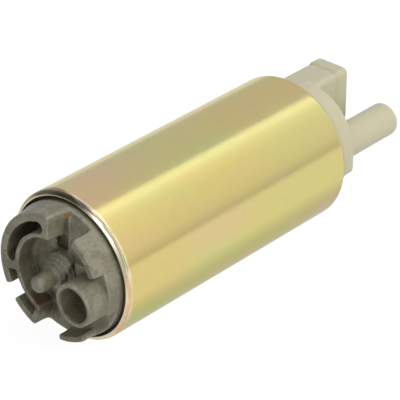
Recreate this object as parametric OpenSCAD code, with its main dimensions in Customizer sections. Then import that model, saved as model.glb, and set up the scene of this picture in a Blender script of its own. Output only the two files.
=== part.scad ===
// In-tank electric fuel pump: a rolled steel barrel with a cast inlet cover at one end
// and a moulded end cap with the electric connector and the outlet nipple at the other.
// The pump axis is X, from inlet to outlet, and the origin is the middle of the barrel.

/* [Barrel] */
// Outside diameter of the steel barrel
barrel_d = 38; // [36:0.5:42]
// Length of the barrel from rolled end to rolled end
barrel_len = 78.2; // [77:0.2:90]
// Wall of the barrel around the magnets
barrel_wall = 1.6; // [1.3:0.1:1.8]
// Wall of the thinned ends that are rolled over
crimp_wall = 0.8; // [0.6:0.05:1]
// Thickness of each rolled lip along the axis
lip_t = 0.9; // [0.6:0.05:1.3]
// Outside corner radius of each rolled end
roll_r = 1.1; // [0.6:0.1:1.1]
// Width of the rolled lip at the inlet, from the outside of the barrel
inlet_lip_w = 1.3; // [1.2:0.05:1.7]
// Width of the rolled lip at the outlet, from the outside of the barrel
outlet_lip_w = 1.2; // [1.2:0.05:1.7]
// Clearance round each piece that drops into an end of the barrel
seat_fit = 0.1; // [0.03:0.01:0.15]

/* [Inlet cover] */
// Length of the cover inside the barrel
cover_t = 8.1; // [7:0.1:10]
// Gap between the cover and the rolled lip round it
cover_gap = 0.75; // [0.3:0.05:1]
// How far the floor of the cover stands out of the lip
floor_proud = 1.5; // [1.2:0.1:2]
// How far the crescent wall stands out of the lip
crescent_h = 6.4; // [5:0.1:7]
// How far the right wall stands out of the lip
side_wall_h = 7; // [5.5:0.1:8]
// How far the ledge beside the spigot stands out of the lip
ledge_h = 4.3; // [3.5:0.1:5]
// How far the bottom lug stands out of the lip
lug_h = 5.5; // [4.5:0.1:6.5]
// Draft of the outer walls, taken off their radius at the front
wall_draft = 0.75; // [0.2:0.05:1]
// Thickness of the outer wall at its front
outer_wall_t = 2.1; // [1.5:0.1:2.6]
// Width of the curved slot in the crescent
slot_w = 2.8; // [2:0.1:3.2]
// Thickness of the inner curved wall
inner_wall_t = 1.2; // [0.8:0.1:1.6]
// Depth of the curved slot below the front of the crescent
slot_depth = 9; // [7:0.1:10]
// Depth of the step at the upper end of the slot
slot_step_depth = 3.2; // [2:0.1:5]
// Thickness of the bottom lug
lug_t = 1.8; // [1.2:0.1:2.2]
// Thickness of the upright fin
fin_t = 0.8; // [0.5:0.1:1.2]
// How far the fin stands out of the lip
fin_h = 2.9; // [2.2:0.1:4]
// Height of the stepped web between the post and the right wall
web_h = 3.4; // [2.5:0.1:4]
// Height of one step of the web
web_step = 0.35; // [0.2:0.05:0.5]

/* [Inlet spigot] */
// Bore of the inlet spigot
inlet_bore_d = 7.94; // [7:0.02:8.4]
// Wall of the spigot
spigot_wall = 1.48; // [1.2:0.02:1.6]
// How far the spigot stands out of the lip
spigot_h = 10.1; // [8:0.1:12]
// Distance from the spigot to the edge of the cover
spigot_edge = 0.7; // [0.5:0.1:1.1]
// Height of the spigot from the axis
spigot_z = -1.3; // [-2:0.1:0]
// Chamfer inside the mouth of the spigot
spigot_chamfer = 0.4; // [0.2:0.05:0.8]

/* [Strainer post] */
// Diameter of the post
post_d = 3.9; // [3:0.1:4.5]
// How far the post stands out of the lip
post_h = 11.3; // [9:0.1:13]
// How far the top ring of the post base stands out of the lip
post_base_h = 5.9; // [4.5:0.1:6.2]
// Diameter of the top ring of the post base
post_ring_d = 5.7; // [5.2:0.1:6]
// How much each lower ring of the base is wider
post_ring_step_d = 1.45; // [1:0.05:1.6]
// Height of one ring of the base
post_ring_t = 0.85; // [0.6:0.05:0.9]

/* [Pump stage] */
// Thickness of the spacer ring round the impeller
ring_t = 4; // [3:0.1:5]
// Wall of the spacer ring
ring_wall = 2.5; // [2:0.1:3.5]
// Running clearance round the rim of the impeller
impeller_gap = 0.2; // [0.1:0.05:0.4]
// Running clearance at each face of the impeller
impeller_side = 0.1; // [0.05:0.01:0.2]
// Number of vanes on the impeller
vane_count = 30; // [20:1:36]
// Radial depth of the vane pockets
vane_depth = 2.4; // [1.5:0.1:3]
// Width of one vane pocket
vane_pocket_w = 1.7; // [1:0.1:1.9]
// Thickness of the pump casing
casing_t = 8.5; // [7:0.1:10]
// Depth of the flow channel in the cover and in the casing
channel_depth = 1.3; // [0.8:0.1:1.6]
// Width of the flow channel
channel_w = 2.8; // [2:0.1:3]
// Diameter of the port from the channel to the motor
port_d = 2.4; // [1.8:0.1:2.6]
// Height of the casing boss that holds the lower bush
casing_boss_h = 1.8; // [1:0.1:2.2]

/* [Shaft and bushes] */
// Diameter of the motor shaft
shaft_d = 4; // [3.5:0.1:4.5]
// Distance from the shaft axis to the drive flat
shaft_flat = 1.5; // [1.3:0.05:1.7]
// Radial running clearance of the shaft in its bushes
bush_fit = 0.03; // [0.02:0.01:0.05]
// Radial gap between a piece and the shaft or hole that it is pressed to
press_gap = 0.02; // [0.01:0.01:0.04]
// Wall of the sintered bushes
bush_wall = 2.1; // [1.6:0.1:2.4]
// Length of each bush
bush_len = 5.5; // [4:0.1:6]
// Diameter of the thrust button under the shaft
button_d = 6; // [5:0.1:6.6]
// Thickness of the thrust button
button_t = 1.4; // [1:0.1:1.8]
// How deep the shaft end reaches into the cover
shaft_dip = 2.1; // [1.5:0.1:2.6]
// Axial gap between the shaft end and the button
end_play = 0.05; // [0.03:0.01:0.1]
// Thickness of the thrust washer
washer_t = 0.5; // [0.3:0.05:0.6]
// Width of the thrust washer's ring
washer_w = 2; // [1.4:0.1:2.2]

/* [Armature] */
// Air gap between the magnets and the armature core
air_gap = 0.6; // [0.4:0.05:1]
// Room for the winding ends between the windings and the commutator
lead_room = 3.1; // [1:0.1:6]
// Gap from the casing boss to the windings
winding_gap = 1.2; // [0.6:0.1:1.5]
// Height of each winding head
winding_head = 4; // [3:0.1:4.2]
// Number of slots in the core
slot_count = 10; // [8:1:10]
// Diameter of each round core slot
core_slot_d = 4.4; // [4:0.1:5]
// Width of the slot mouth
core_mouth_w = 1.4; // [1:0.1:2]
// Iron left outside each round slot
core_tip = 0.9; // [0.6:0.1:1.2]
// Thickness of each insulating end plate
insulator_t = 0.6; // [0.4:0.1:0.8]
// Gap between the windings and what they pass
winding_fit = 0.15; // [0.1:0.05:0.3]
// Height of the commutator hub
hub_t = 3.2; // [2.5:0.1:3.4]
// Diameter of the commutator
commutator_d = 22; // [20:0.5:24]
// Bore left inside the commutator segments
commutator_bore_d = 9; // [8:0.2:9]
// Thickness of the commutator segments
segment_t = 2; // [1.5:0.1:2.2]
// Gap between two segments
segment_gap = 0.6; // [0.4:0.1:0.9]

/* [Magnets] */
// Radial thickness of the arc magnets
magnet_t = 3.3; // [2.8:0.1:3.6]
// How far the magnets reach past each end of the core
magnet_over = 4; // [1:0.1:6]
// Angle that each magnet covers
magnet_arc = 130; // [110:1:136]
// Gap between the magnets and the barrel
magnet_fit = 0.1; // [0.05:0.01:0.2]
// Thickness of the magnet clips
clip_t = 0.5; // [0.4:0.05:0.7]
// Angle left free between a clip and a magnet
clip_free = 2; // [1:0.5:2]

/* [Brush gear] */
// Depth of the outlet seat in the barrel, from the rim to the brush holder
outlet_seat = 13; // [12.6:0.1:14]
// Thickness of the brush holder plate
holder_t = 2.5; // [2:0.1:2.8]
// Distance of each brush from the axis
brush_place = 7.5; // [7:0.1:8]
// Side of the square brushes
brush_w = 5; // [4.5:0.1:5.4]
// Length of a new brush
brush_len = 6; // [5:0.1:6.4]
// Sliding clearance round a brush
brush_fit = 0.1; // [0.05:0.01:0.2]
// Wall of the holder round the upper bush
holder_hub_wall = 1.4; // [1:0.1:1.6]
// Wall of the brush guides
guide_wall = 1; // [0.8:0.1:1.2]
// Height of the guides above the holder plate
guide_h = 4; // [3:0.1:4.4]
// Gap between a brush and the commutator
brush_touch = 0.05; // [0.03:0.01:0.1]
// Gap from the commutator to the brush holder plate
holder_gap = 1.2; // [1:0.1:1.6]
// Turning of the brush gear about the axis
brush_angle = 45; // [40:1:50]
// Wire of the brush springs
brush_wire = 0.4; // [0.3:0.05:0.5]
// Middle diameter of the brush springs
brush_spring_d = 3.6; // [3:0.1:4]
// Diameter of the flexible brush leads
lead_d = 0.9; // [0.6:0.1:1.1]
// Length of each choke
choke_len = 8; // [6:0.5:8]
// Diameter of the ferrite rods
choke_core_d = 3; // [2.4:0.1:3.2]
// Wire of the choke windings
choke_wire = 0.75; // [0.5:0.05:0.8]
// Gap between each choke and the wall of the cap
choke_edge = 0.95; // [0.7:0.05:1.4]
// Gap under a choke
choke_gap = 0.3; // [0.2:0.05:0.4]

/* [End cap] */
// Gap between the neck of the cap and the rolled lip
neck_gap = 0.1; // [0.05:0.05:0.3]
// How far the rim of the cap stands out of the barrel
rim_h = 1.4; // [1:0.1:2]
// How far the raised side wall stands out of the barrel
side_h = 4; // [3:0.1:5]
// Angle where the raised side wall ends
side_end = 189; // [185:1:195]
// How far the round platform stands out of the barrel
platform_h = 5.8; // [5.3:0.1:7]
// Diameter of the round platform
platform_d = 27.6; // [27:0.1:28]
// Distance from the platform to the edge of the cap
platform_edge = 0.1; // [0.1:0.05:0.4]
// Direction of the platform from the axis
platform_dir = 136; // [130:1:140]
// Depth of the cap wall over the brush gear
roof_t = 5.1; // [4.5:0.1:5.2]
// Wall of the skirt inside the barrel
skirt_wall = 2.9; // [2.7:0.1:3.1]
// Small chamfer on the outer edges of the cap
cap_chamfer = 0.4; // [0.2:0.05:0.6]
// Cord diameter of the sealing ring
seal_d = 1.5; // [1.3:0.05:1.6]
// Gap round the sealing ring
seal_fit = 0.05; // [0.03:0.01:0.1]

/* [Connector] */
// Width of the connector body
tower_w = 9.3; // [8.6:0.1:10]
// Middle of the connector across the pump
tower_y = -0.35; // [-0.6:0.05:0.6]
// Height of the connector from its lower to its upper side
tower_tall = 14.2; // [12:0.1:14.4]
// Depth of the upper side of the connector below the outside of the barrel
tower_drop = 2; // [1.9:0.1:2.2]
// How far the mouth of the connector stands out of the barrel
tower_h = 16.8; // [14:0.1:20]
// Length of the collar round the mouth
collar_len = 4; // [3:0.1:5]
// How far the collar stands out round the body
collar_step = 0.25; // [0.1:0.05:0.4]
// Corner radius of the connector
tower_round = 1.2; // [0.6:0.1:1.4]
// Wall of the connector socket
socket_wall = 1.3; // [1:0.1:1.5]
// Depth of the socket
socket_depth = 9; // [7:0.1:10]
// Width of the contact blades
blade_w = 2.8; // [2:0.1:3]
// Thickness of the contact blades
blade_t = 0.8; // [0.6:0.05:1]
// Distance between the two blades
blade_pitch = 6; // [5.8:0.1:6.4]
// How far the blade tips stay inside the mouth
blade_sunk = 1.5; // [1:0.1:3]
// Gap round each blade in the cap
blade_fit = 0.1; // [0.05:0.01:0.2]
// Thickness of the blade feet on the brush holder
foot_t = 0.6; // [0.4:0.05:0.8]

/* [Outlet nipple] */
// Outside diameter of the nipple
nipple_d = 8.8; // [8.6:0.1:9.2]
// How far the nipple stands out of the barrel
nipple_h = 26.3; // [20:0.1:32]
// Bore of the nipple
nipple_bore_d = 5.2; // [4.4:0.1:5.6]
// Distance from the nipple to the edge of the cap
nipple_edge = 2.9; // [2.5:0.1:3.1]
// Height of the nipple from the axis
nipple_z = 1; // [0.6:0.1:1.4]
// Rounding of the tip of the nipple
nipple_round = 0.7; // [0.3:0.05:0.9]

/* [Check valve] */
// Diameter of the valve chamber
chamber_d = 6.8; // [6.4:0.1:7]
// Length of the valve chamber above its seat ring
chamber_len = 9.5; // [8:0.1:11]
// Thickness of the seat ring
valve_seat_t = 2; // [1.5:0.1:2.4]
// Hole in the seat ring
valve_seat_bore_d = 3.6; // [3:0.1:4]
// Running clearance of the poppet in the chamber
poppet_fit = 0.1; // [0.05:0.01:0.2]
// Thickness of the poppet disc
poppet_t = 1.4; // [1:0.1:1.8]
// Diameter of the poppet disc inside its guide ribs
poppet_d = 5; // [4.6:0.1:5.4]
// Travel of the poppet
poppet_travel = 2; // [1:0.1:2.5]
// Wire of the valve spring
valve_wire = 0.35; // [0.25:0.05:0.45]
// Middle diameter of the valve spring
valve_spring_d = 4; // [3.6:0.1:4.2]

/* [Relief valve] */
// Distance from the relief valve boss to the edge of the cap
relief_edge = 1.8; // [1.4:0.1:2.2]
// Direction of the relief valve from the axis
relief_dir = -40; // [-46:1:-36]
// Outside diameter of the relief valve boss
relief_boss_d = 7; // [6.6:0.1:7.4]
// Diameter of the relief valve ball
relief_ball_d = 4; // [3.6:0.1:4.2]
// Clearance of the ball in its chamber
relief_fit = 0.15; // [0.1:0.05:0.2]
// Passage under the ball
relief_port_d = 2.4; // [2:0.1:2.8]
// Depth of the passage under the ball
relief_port_len = 2.5; // [2:0.1:3]
// Thickness of the plug
relief_plug_t = 1.5; // [1:0.1:1.6]
// Hole in the plug
relief_plug_bore_d = 1.8; // [1.4:0.1:2]
// Wire of the relief spring
relief_wire = 0.35; // [0.25:0.05:0.45]
// Middle diameter of the relief spring
relief_spring_d = 2.6; // [2.4:0.1:2.8]
// Travel of the ball
relief_travel = 1; // [0.6:0.1:1.1]

/* [Hidden] */
$fn = 96;

// Overlap that joins solids of one piece, and run-out of its cuts
eps = 0.02;
cut = 1;

// Radii of the barrel
barrel_r = barrel_d / 2;
bore_r = barrel_r - barrel_wall;
seat_r = barrel_r - crimp_wall;
insert_r = seat_r - seat_fit;
inlet_mouth_r = barrel_r - inlet_lip_w;
outlet_mouth_r = barrel_r - outlet_lip_w;

// How far the thrust washer floats above the commutator and below the upper bush
washer_lift = 0.05;
washer_play = 0.15;
// How far the shaft stands out of the upper bush
shaft_over = 0.5;

// Places along the axis, from the inlet rim of the barrel
cover_face = lip_t + cover_t;
casing_start = cover_face + ring_t;
inlet_seat = casing_start + casing_t;
boss_top = inlet_seat + casing_boss_h;
holder_start = barrel_len - outlet_seat;
holder_top = holder_start + holder_t;
outlet_lip_start = barrel_len - lip_t;
roof_start = barrel_len + rim_h - roof_t;

// How deep the walls of the cover are rooted in its floor, and how far their faces stay inside it
wall_root = 0.4;
wall_inset = 0.05;

// Details of the inlet cover: web, fin, recess beside the fin, and point of the post
web_to = -5;
web_tall = 7.4;
web_spread = 1.2;
fin_y = -2.4;
fin_from = 7.5;
recess_y = -1.1;
recess_z = 5.2;
recess_w = 3;
recess_tall = 4.5;
recess_depth = 2.2;
post_point = 1.3;

// Radii of the inlet cover
boss_r = inlet_mouth_r - cover_gap;
wall_front_r = boss_r - wall_draft;
slot_outer_r = wall_front_r - outer_wall_t;
slot_inner_r = slot_outer_r - slot_w;
pocket_r = slot_inner_r - inner_wall_t;
spigot_r = inlet_bore_d / 2 + spigot_wall;
spigot_y = -(boss_r - spigot_edge - spigot_r);
ledge_r = slot_outer_r - wall_root;
web_bottom = -spigot_r / 2;
web_from = -slot_outer_r + web_spread;

// Angles of the walls of the inlet cover, from the left of the pump round over its top
crescent_from = -27;
crescent_to = 90;
slot_from = -1;
slot_to = 82;
slot_step_from = 62;
notch_to = -12;
block_from = -70;
block_to = -41.5;
block_slot_from = -64;
side_wall_from = 119.5;
side_wall_to = 157;
ledge_to = 196;
lug_from = -127;
lug_to = -97;

// Pump stage
channel_edge = 0.4;
casing_boss_wall = 1.8;
shaft_clear = 0.4;
ring_bore_r = insert_r - ring_wall;
channel_r = ring_bore_r - channel_edge;
impeller_r = ring_bore_r - impeller_gap;
port_angle = -50;
channel_from = -40;
channel_sweep = 300;

// Armature
insulator_inset = 0.2;
winding_clear = 1;
winding_inset = 1.4;
winding_round = 1.4;
winding_inner_round = 0.8;
winding_reach = insulator_t + 1;
clip_inset = 1;
magnet_outer_r = bore_r - magnet_fit;
magnet_inner_r = magnet_outer_r - magnet_t;
core_r = magnet_inner_r - air_gap;
winding_start = boss_top + winding_gap;
core_start = winding_start + winding_head + insulator_t;
segment_top = holder_start - holder_gap;
segment_start = segment_top - segment_t;
hub_start = segment_start - hub_t;
winding_end = hub_start - lead_room;
core_end = winding_end - winding_head - insulator_t;
core_slot_r = core_r - core_tip - core_slot_d / 2;
magnet_start = core_start - magnet_over;
magnet_end = core_end + magnet_over;
shaft_start = cover_face - shaft_dip;
button_top = shaft_start - end_play;
shaft_r = shaft_d / 2;
bush_r = shaft_r + bush_fit + bush_wall;
washer_start = segment_top + washer_lift;
upper_bush_start = washer_start + washer_t + washer_play;
upper_bush_top = upper_bush_start + bush_len;
shaft_end = upper_bush_top + shaft_over;

// Brush gear
guide_dip = 0.2;
spring_gap = 0.1;
passage_w = 4.5;
passage_edge = 0.5;
passage_from = 62;
foot_len = 6;
foot_w = 1.6;
choke_bare = 1;
guide_inner = brush_w + 2 * brush_fit;
guide_outer = guide_inner + 2 * guide_wall;
brush_start = segment_top + brush_touch;
brush_end = brush_start + brush_len;
guide_start = holder_start - guide_dip;

// End cap
cap_root = 1;
side_from = 95;
side_wall_t = 2.4;
seal_place = 3;
neck_r = outlet_mouth_r - neck_gap;
cavity_r = insert_r - skirt_wall;
platform_off = neck_r - platform_edge - platform_d / 2;
nipple_y = -(neck_r - nipple_edge - nipple_d / 2);
relief_place = neck_r - relief_edge - relief_boss_d / 2;
relief_y = relief_place * cos(relief_dir);
relief_z = relief_place * sin(relief_dir);
choke_place = cavity_r - choke_edge - choke_wire - choke_core_d / 2;
rim_top = barrel_len + rim_h;
side_top = barrel_len + side_h;
platform_top = barrel_len + platform_h;
tower_mid_z = barrel_r - tower_drop - tower_tall / 2;
tower_end = barrel_len + tower_h;
collar_start = tower_end - collar_len;
collar_w = tower_w + 2 * collar_step;
collar_tall = tower_tall + 2 * collar_step;
socket_w = tower_w - 2 * socket_wall;
socket_tall = tower_tall - 2 * socket_wall;
socket_start = tower_end - socket_depth;
nipple_end = barrel_len + nipple_h;
seal_r = seat_r - seal_fit - seal_d / 2;
seal_z = holder_top + seal_place;
groove_half = seal_d / 2 + seal_fit;

// Valves
seat_play = 0.05;
poppet_stem_fit = 0.2;
poppet_stem_len = 2;
poppet_rib_t = 1;
valve_seat_top = roof_start + valve_seat_t;
chamber_top = valve_seat_top + chamber_len;
poppet_start = valve_seat_top + seat_play;
poppet_top = poppet_start + poppet_t;
poppet_stem_r = valve_spring_d / 2 - valve_wire / 2 - poppet_stem_fit;
poppet_r = chamber_d / 2 - poppet_fit;
relief_seat = roof_start + relief_port_len;
relief_ball_z = relief_seat + sqrt(pow(relief_ball_d / 2, 2) - pow(relief_port_d / 2, 2)) + seat_play;
relief_chamber_r = relief_ball_d / 2 + relief_fit;
relief_top = platform_top;
relief_plug_start = relief_top - relief_plug_t;

// Placing: what is drawn along +Z from the inlet rim lies along +X about the barrel's middle
module on_axis() {
    rotate([90, 0, 90]) translate([0, 0, -barrel_len / 2]) children();
}

// A part of a ring between two angles
module ring_sector(r_in, r_out, from, to, start, end) {
    translate([0, 0, start])
        rotate([0, 0, from])
            rotate_extrude(angle = to - from)
                translate([r_in, 0]) square([r_out - r_in, end - start]);
}

// A part of a ring whose outside narrows towards its start
module drafted_sector(r_in, r_front, r_back, from, to, start, end) {
    translate([0, 0, start])
        rotate([0, 0, from])
            rotate_extrude(angle = to - from)
                polygon([[r_in, 0], [r_front, 0], [r_back, end - start], [r_in, end - start]]);
}

module tube(r_in, r_out, start, end) {
    translate([0, 0, start]) difference() {
        cylinder(r = r_out, h = end - start);
        translate([0, 0, -cut]) cylinder(r = r_in, h = end - start + 2 * cut);
    }
}

module rod(r, start, end) {
    translate([0, 0, start]) cylinder(r = r, h = end - start);
}

// A cylinder with its far edge chamfered
module chamfered_rod(r, start, end, chamfer) {
    rod(r, start, end - chamfer);
    translate([0, 0, end - chamfer - eps]) cylinder(r1 = r, r2 = r - chamfer, h = chamfer + eps);
}

// One unbroken tube of wire round the axis, from z_from to z_to
module helix(middle_d, wire_d, turns, z_from, z_to, sides = 6, steps = 14) {
    count = round(turns * steps);
    rise = (z_to - z_from - wire_d) / count;
    slope = atan(rise * steps / (PI * middle_d));
    ring = [for (i = [0:count]) let (a = 360 * i / steps) [
        for (j = [0:sides - 1]) let (b = 360 * j / sides) [
            (middle_d / 2 + wire_d / 2 * cos(b)) * cos(a) + wire_d / 2 * sin(b) * sin(slope) * sin(a),
            (middle_d / 2 + wire_d / 2 * cos(b)) * sin(a) - wire_d / 2 * sin(b) * sin(slope) * cos(a),
            z_from + wire_d / 2 + rise * i + wire_d / 2 * sin(b) * cos(slope)
        ]
    ]];
    points = [for (loop = ring) each loop];
    walls = [for (i = [0:count - 1]) for (j = [0:sides - 1]) let (k = (j + 1) % sides) each [
        [i * sides + j, (i + 1) * sides + j, (i + 1) * sides + k],
        [i * sides + j, (i + 1) * sides + k, i * sides + k]
    ]];
    first = [for (j = [1:sides - 2]) [0, j, j + 1]];
    ends = [for (j = [1:sides - 2]) [count * sides, count * sides + j + 1, count * sides + j]];
    polyhedron(points = points, faces = concat(walls, first, ends), convexity = 6);
}

// The rolled barrel
module housing_shell() {
    roll = [for (a = [0:15:90]) [barrel_r - roll_r + roll_r * sin(a), roll_r - roll_r * cos(a)]];
    far_roll = [for (a = [0:15:90]) [
        barrel_r - roll_r + roll_r * cos(a),
        barrel_len - roll_r + roll_r * sin(a)
    ]];
    color("goldenrod") on_axis() rotate_extrude($fn = 180) polygon(concat(
        [[inlet_mouth_r, 0]],
        roll,
        far_roll,
        [
            [outlet_mouth_r, barrel_len],
            [outlet_mouth_r, outlet_lip_start],
            [seat_r, outlet_lip_start],
            [seat_r, holder_start],
            [bore_r, holder_start],
            [bore_r, inlet_seat],
            [seat_r, inlet_seat],
            [seat_r, lip_t],
            [inlet_mouth_r, lip_t]
        ]
    ));
}

// The walls that stand on the floor of the inlet cover
module cover_walls() {
    root = wall_root - floor_proud;
    back_r = boss_r - wall_inset;
    drafted_sector(pocket_r, wall_front_r, back_r, block_from, crescent_to, -crescent_h, root);
    drafted_sector(slot_outer_r, wall_front_r, back_r, side_wall_from, side_wall_to, -side_wall_h, root);
    ring_sector(ledge_r, boss_r - 3 * wall_inset, side_wall_to - 2, ledge_to, -ledge_h, root);
    ring_sector(boss_r - lug_t, boss_r - 5 * wall_inset, lug_from, lug_to, -lug_h, root);
}

// The slots, notch and gaps of those walls
module cover_slots() {
    front = -crescent_h - cut;
    ring_sector(slot_inner_r, slot_outer_r, slot_from, slot_to, front, slot_step_depth - crescent_h);
    ring_sector(
        slot_inner_r + wall_inset, slot_outer_r - wall_inset, slot_from + 0.5, slot_step_from,
        front, slot_depth - crescent_h
    );
    // the cuts that open onto the floor leave it a little apart, each at its own level
    floor_cut = -floor_proud - wall_inset;
    ring_sector(slot_inner_r + wall_inset, slot_outer_r, crescent_from - 2, notch_to, front, floor_cut);
    ring_sector(slot_inner_r, boss_r + cut, block_to, crescent_from, front, floor_cut - wall_inset);
    ring_sector(
        slot_inner_r + 2 * wall_inset, slot_outer_r + 6 * wall_inset, block_slot_from, block_to + 2,
        front, floor_cut - 2 * wall_inset
    );
}

// The rings at the foot of the strainer post
module post_base() {
    for (i = [0:3]) {
        ring_r = (post_ring_d + i * post_ring_step_d) / 2;
        rod(ring_r, -post_base_h + i * post_ring_t, -floor_proud + wall_root);
    }
}

// The stepped web between the post, the right wall and the spigot
module cover_web() {
    for (i = [0:2]) {
        translate([web_from, web_bottom - web_spread * i, -web_h + i * web_step])
            cube([web_to - web_from, web_tall + web_spread * i, web_h - floor_proud + wall_root]);
    }
}

// What stands out of the lip, before its slots are cut
module cover_front() {
    rod(boss_r, -floor_proud, lip_t + 2 * eps);
    cover_walls();
    post_base();
    rod(post_d / 2, -post_h + post_point, -floor_proud + wall_root);
    translate([0, 0, -post_h]) cylinder(r1 = post_d / 4, r2 = post_d / 2, h = post_point + eps);
    translate([spigot_y, spigot_z, 0]) rod(spigot_r, -spigot_h, -floor_proud + wall_root);
    cover_web();
    translate([fin_y, fin_from, -fin_h]) cube([fin_t, wall_front_r - wall_root - fin_from, fin_h]);
}

// The open channel beside the vanes
module flow_channel(start, end) {
    ring_sector(channel_r - channel_w, channel_r, channel_from, channel_from + channel_sweep, start, end);
}

module inlet_cover() {
    color("dimgray") on_axis() difference() {
        union() {
            rod(insert_r, lip_t + eps, cover_face);
            cover_front();
        }
        cover_slots();
        // the recess beside the fin
        translate([recess_y, recess_z, -floor_proud - cut]) cube([recess_w, recess_tall, cut + recess_depth]);
        // the inlet bore and its chamfer
        translate([spigot_y, spigot_z, 0]) {
            rod(inlet_bore_d / 2, -spigot_h - cut, cover_face + cut);
            translate([0, 0, -spigot_h - eps]) cylinder(
                r1 = inlet_bore_d / 2 + spigot_chamfer, r2 = inlet_bore_d / 2, h = spigot_chamfer + eps
            );
        }
        // the flow channel and the recess of the thrust button
        flow_channel(cover_face - channel_depth, cover_face + cut);
        rod(button_d / 2 + press_gap, button_top - button_t - eps, cover_face + cut);
    }
}

module thrust_button() {
    color("silver") on_axis() rod(button_d / 2, button_top - button_t, button_top);
}

module spacer_ring() {
    color("darkgray") on_axis() tube(ring_bore_r, insert_r, cover_face, casing_start);
}

// The shaft's section where it drives the impeller
module shaft_section(grow) {
    intersection() {
        circle(r = shaft_r + grow);
        translate([-shaft_d, -shaft_d]) square([shaft_d + shaft_flat + grow, 2 * shaft_d]);
    }
}

module impeller() {
    face_from = cover_face + impeller_side;
    face_to = casing_start - impeller_side;
    color("saddlebrown") on_axis() difference() {
        rod(impeller_r, face_from, face_to);
        translate([0, 0, face_from - cut])
            linear_extrude(face_to - face_from + 2 * cut) shaft_section(press_gap);
        for (i = [0:vane_count - 1]) rotate([0, 0, 360 * i / vane_count])
            translate([impeller_r - vane_depth, -vane_pocket_w / 2, face_from - cut])
                cube([vane_depth + cut, vane_pocket_w, face_to - face_from + 2 * cut]);
    }
}

module pump_casing() {
    color("gray") on_axis() difference() {
        union() {
            rod(insert_r, casing_start, inlet_seat);
            rod(bush_r + casing_boss_wall, inlet_seat - eps, boss_top);
        }
        rod(bush_r + press_gap, boss_top - bush_len, boss_top + cut);
        rod(shaft_r + shaft_clear, casing_start - cut, boss_top);
        flow_channel(casing_start - cut, casing_start + channel_depth);
        rotate([0, 0, port_angle]) translate([channel_r - channel_w / 2, 0, 0])
            rod(port_d / 2, casing_start - cut, inlet_seat + cut);
    }
}

module lower_bush() {
    color("peru") on_axis() tube(shaft_r + bush_fit, bush_r, boss_top - bush_len + eps, boss_top);
}

module upper_bush() {
    color("peru") on_axis() tube(shaft_r + bush_fit, bush_r, upper_bush_start, upper_bush_top);
}

module shaft() {
    drive_end = casing_start + shaft_clear;
    color("silver") on_axis() union() {
        translate([0, 0, shaft_start]) linear_extrude(drive_end - shaft_start) shaft_section(0);
        rod(shaft_r, drive_end - eps, shaft_end);
    }
}

module core_slots(start, end, grow) {
    for (i = [0:slot_count - 1]) rotate([0, 0, 360 * i / slot_count]) {
        translate([core_slot_r, 0, 0]) rod(core_slot_d / 2 + grow, start, end);
        translate([core_slot_r, -core_mouth_w / 2, start]) cube([core_r, core_mouth_w, end - start]);
    }
}

module armature_core() {
    color("slategray") on_axis() difference() {
        rod(core_r, core_start, core_end);
        rod(shaft_r + press_gap, core_start - cut, core_end + cut);
        core_slots(core_start - cut, core_end + cut, 0);
    }
}

module armature_insulators() {
    color("honeydew") on_axis() for (start = [core_start - insulator_t, core_end]) difference() {
        rod(core_r - insulator_inset, start, start + insulator_t);
        rod(shaft_r + press_gap, start - cut, start + insulator_t + cut);
        core_slots(start - cut, start + insulator_t + cut, 0);
    }
}

module wound_head(start, end) {
    inner = shaft_r + winding_clear;
    outer = core_r - insulator_inset - winding_inset;
    rotate_extrude() polygon([
        [inner, start + winding_inner_round],
        [inner + winding_inner_round, start],
        [outer - winding_round, start],
        [outer, start + winding_round],
        [outer, end - winding_round],
        [outer - winding_round, end],
        [inner + winding_inner_round, end],
        [inner, end - winding_inner_round]
    ]);
}

module armature_windings() {
    color("darkorange") on_axis() union() {
        wound_head(winding_start, core_start - insulator_t);
        wound_head(core_end + insulator_t, winding_end);
        for (i = [0:slot_count - 1]) rotate([0, 0, 360 * i / slot_count]) translate([core_slot_r, 0, 0])
            rod(core_slot_d / 2 - winding_fit, core_start - winding_reach, core_end + winding_reach);
    }
}

module commutator_hub() {
    color("maroon") on_axis() difference() {
        union() {
            rod(commutator_d / 2, hub_start, segment_start);
            rod(commutator_bore_d / 2 - press_gap, segment_start - eps, segment_top);
        }
        rod(shaft_r + press_gap, hub_start - cut, segment_top + cut);
    }
}

module commutator_segments() {
    color("chocolate") on_axis() difference() {
        tube(commutator_bore_d / 2, commutator_d / 2, segment_start, segment_top);
        for (i = [0:slot_count - 1]) rotate([0, 0, 360 * (i + 0.5) / slot_count])
            translate([0, -segment_gap / 2, segment_start - cut])
                cube([commutator_d, segment_gap, segment_t + 2 * cut]);
    }
}

module thrust_washer() {
    color("silver") on_axis()
        tube(shaft_r + washer_lift, shaft_r + washer_w, washer_start, washer_start + washer_t);
}

module magnet(middle) {
    from = middle - magnet_arc / 2;
    color("darkslategray") on_axis()
        ring_sector(magnet_inner_r, magnet_outer_r, from, from + magnet_arc, magnet_start, magnet_end);
}

module magnet_left() {
    magnet(0);
}

module magnet_right() {
    magnet(180);
}

module magnet_clips() {
    half = 90 - magnet_arc / 2 - clip_free;
    color("lightsteelblue") on_axis() for (middle = [90, 270]) ring_sector(
        magnet_outer_r - clip_t, magnet_outer_r, middle - half, middle + half,
        magnet_start + clip_inset, magnet_end - clip_inset
    );
}

// Places its children at one brush
module at_brush(side) {
    rotate([0, 0, brush_angle]) translate([side * brush_place, 0, 0]) children();
}

module square_rod(side, start, end) {
    translate([-side / 2, -side / 2, start]) cube([side, side, end - start]);
}

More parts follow.
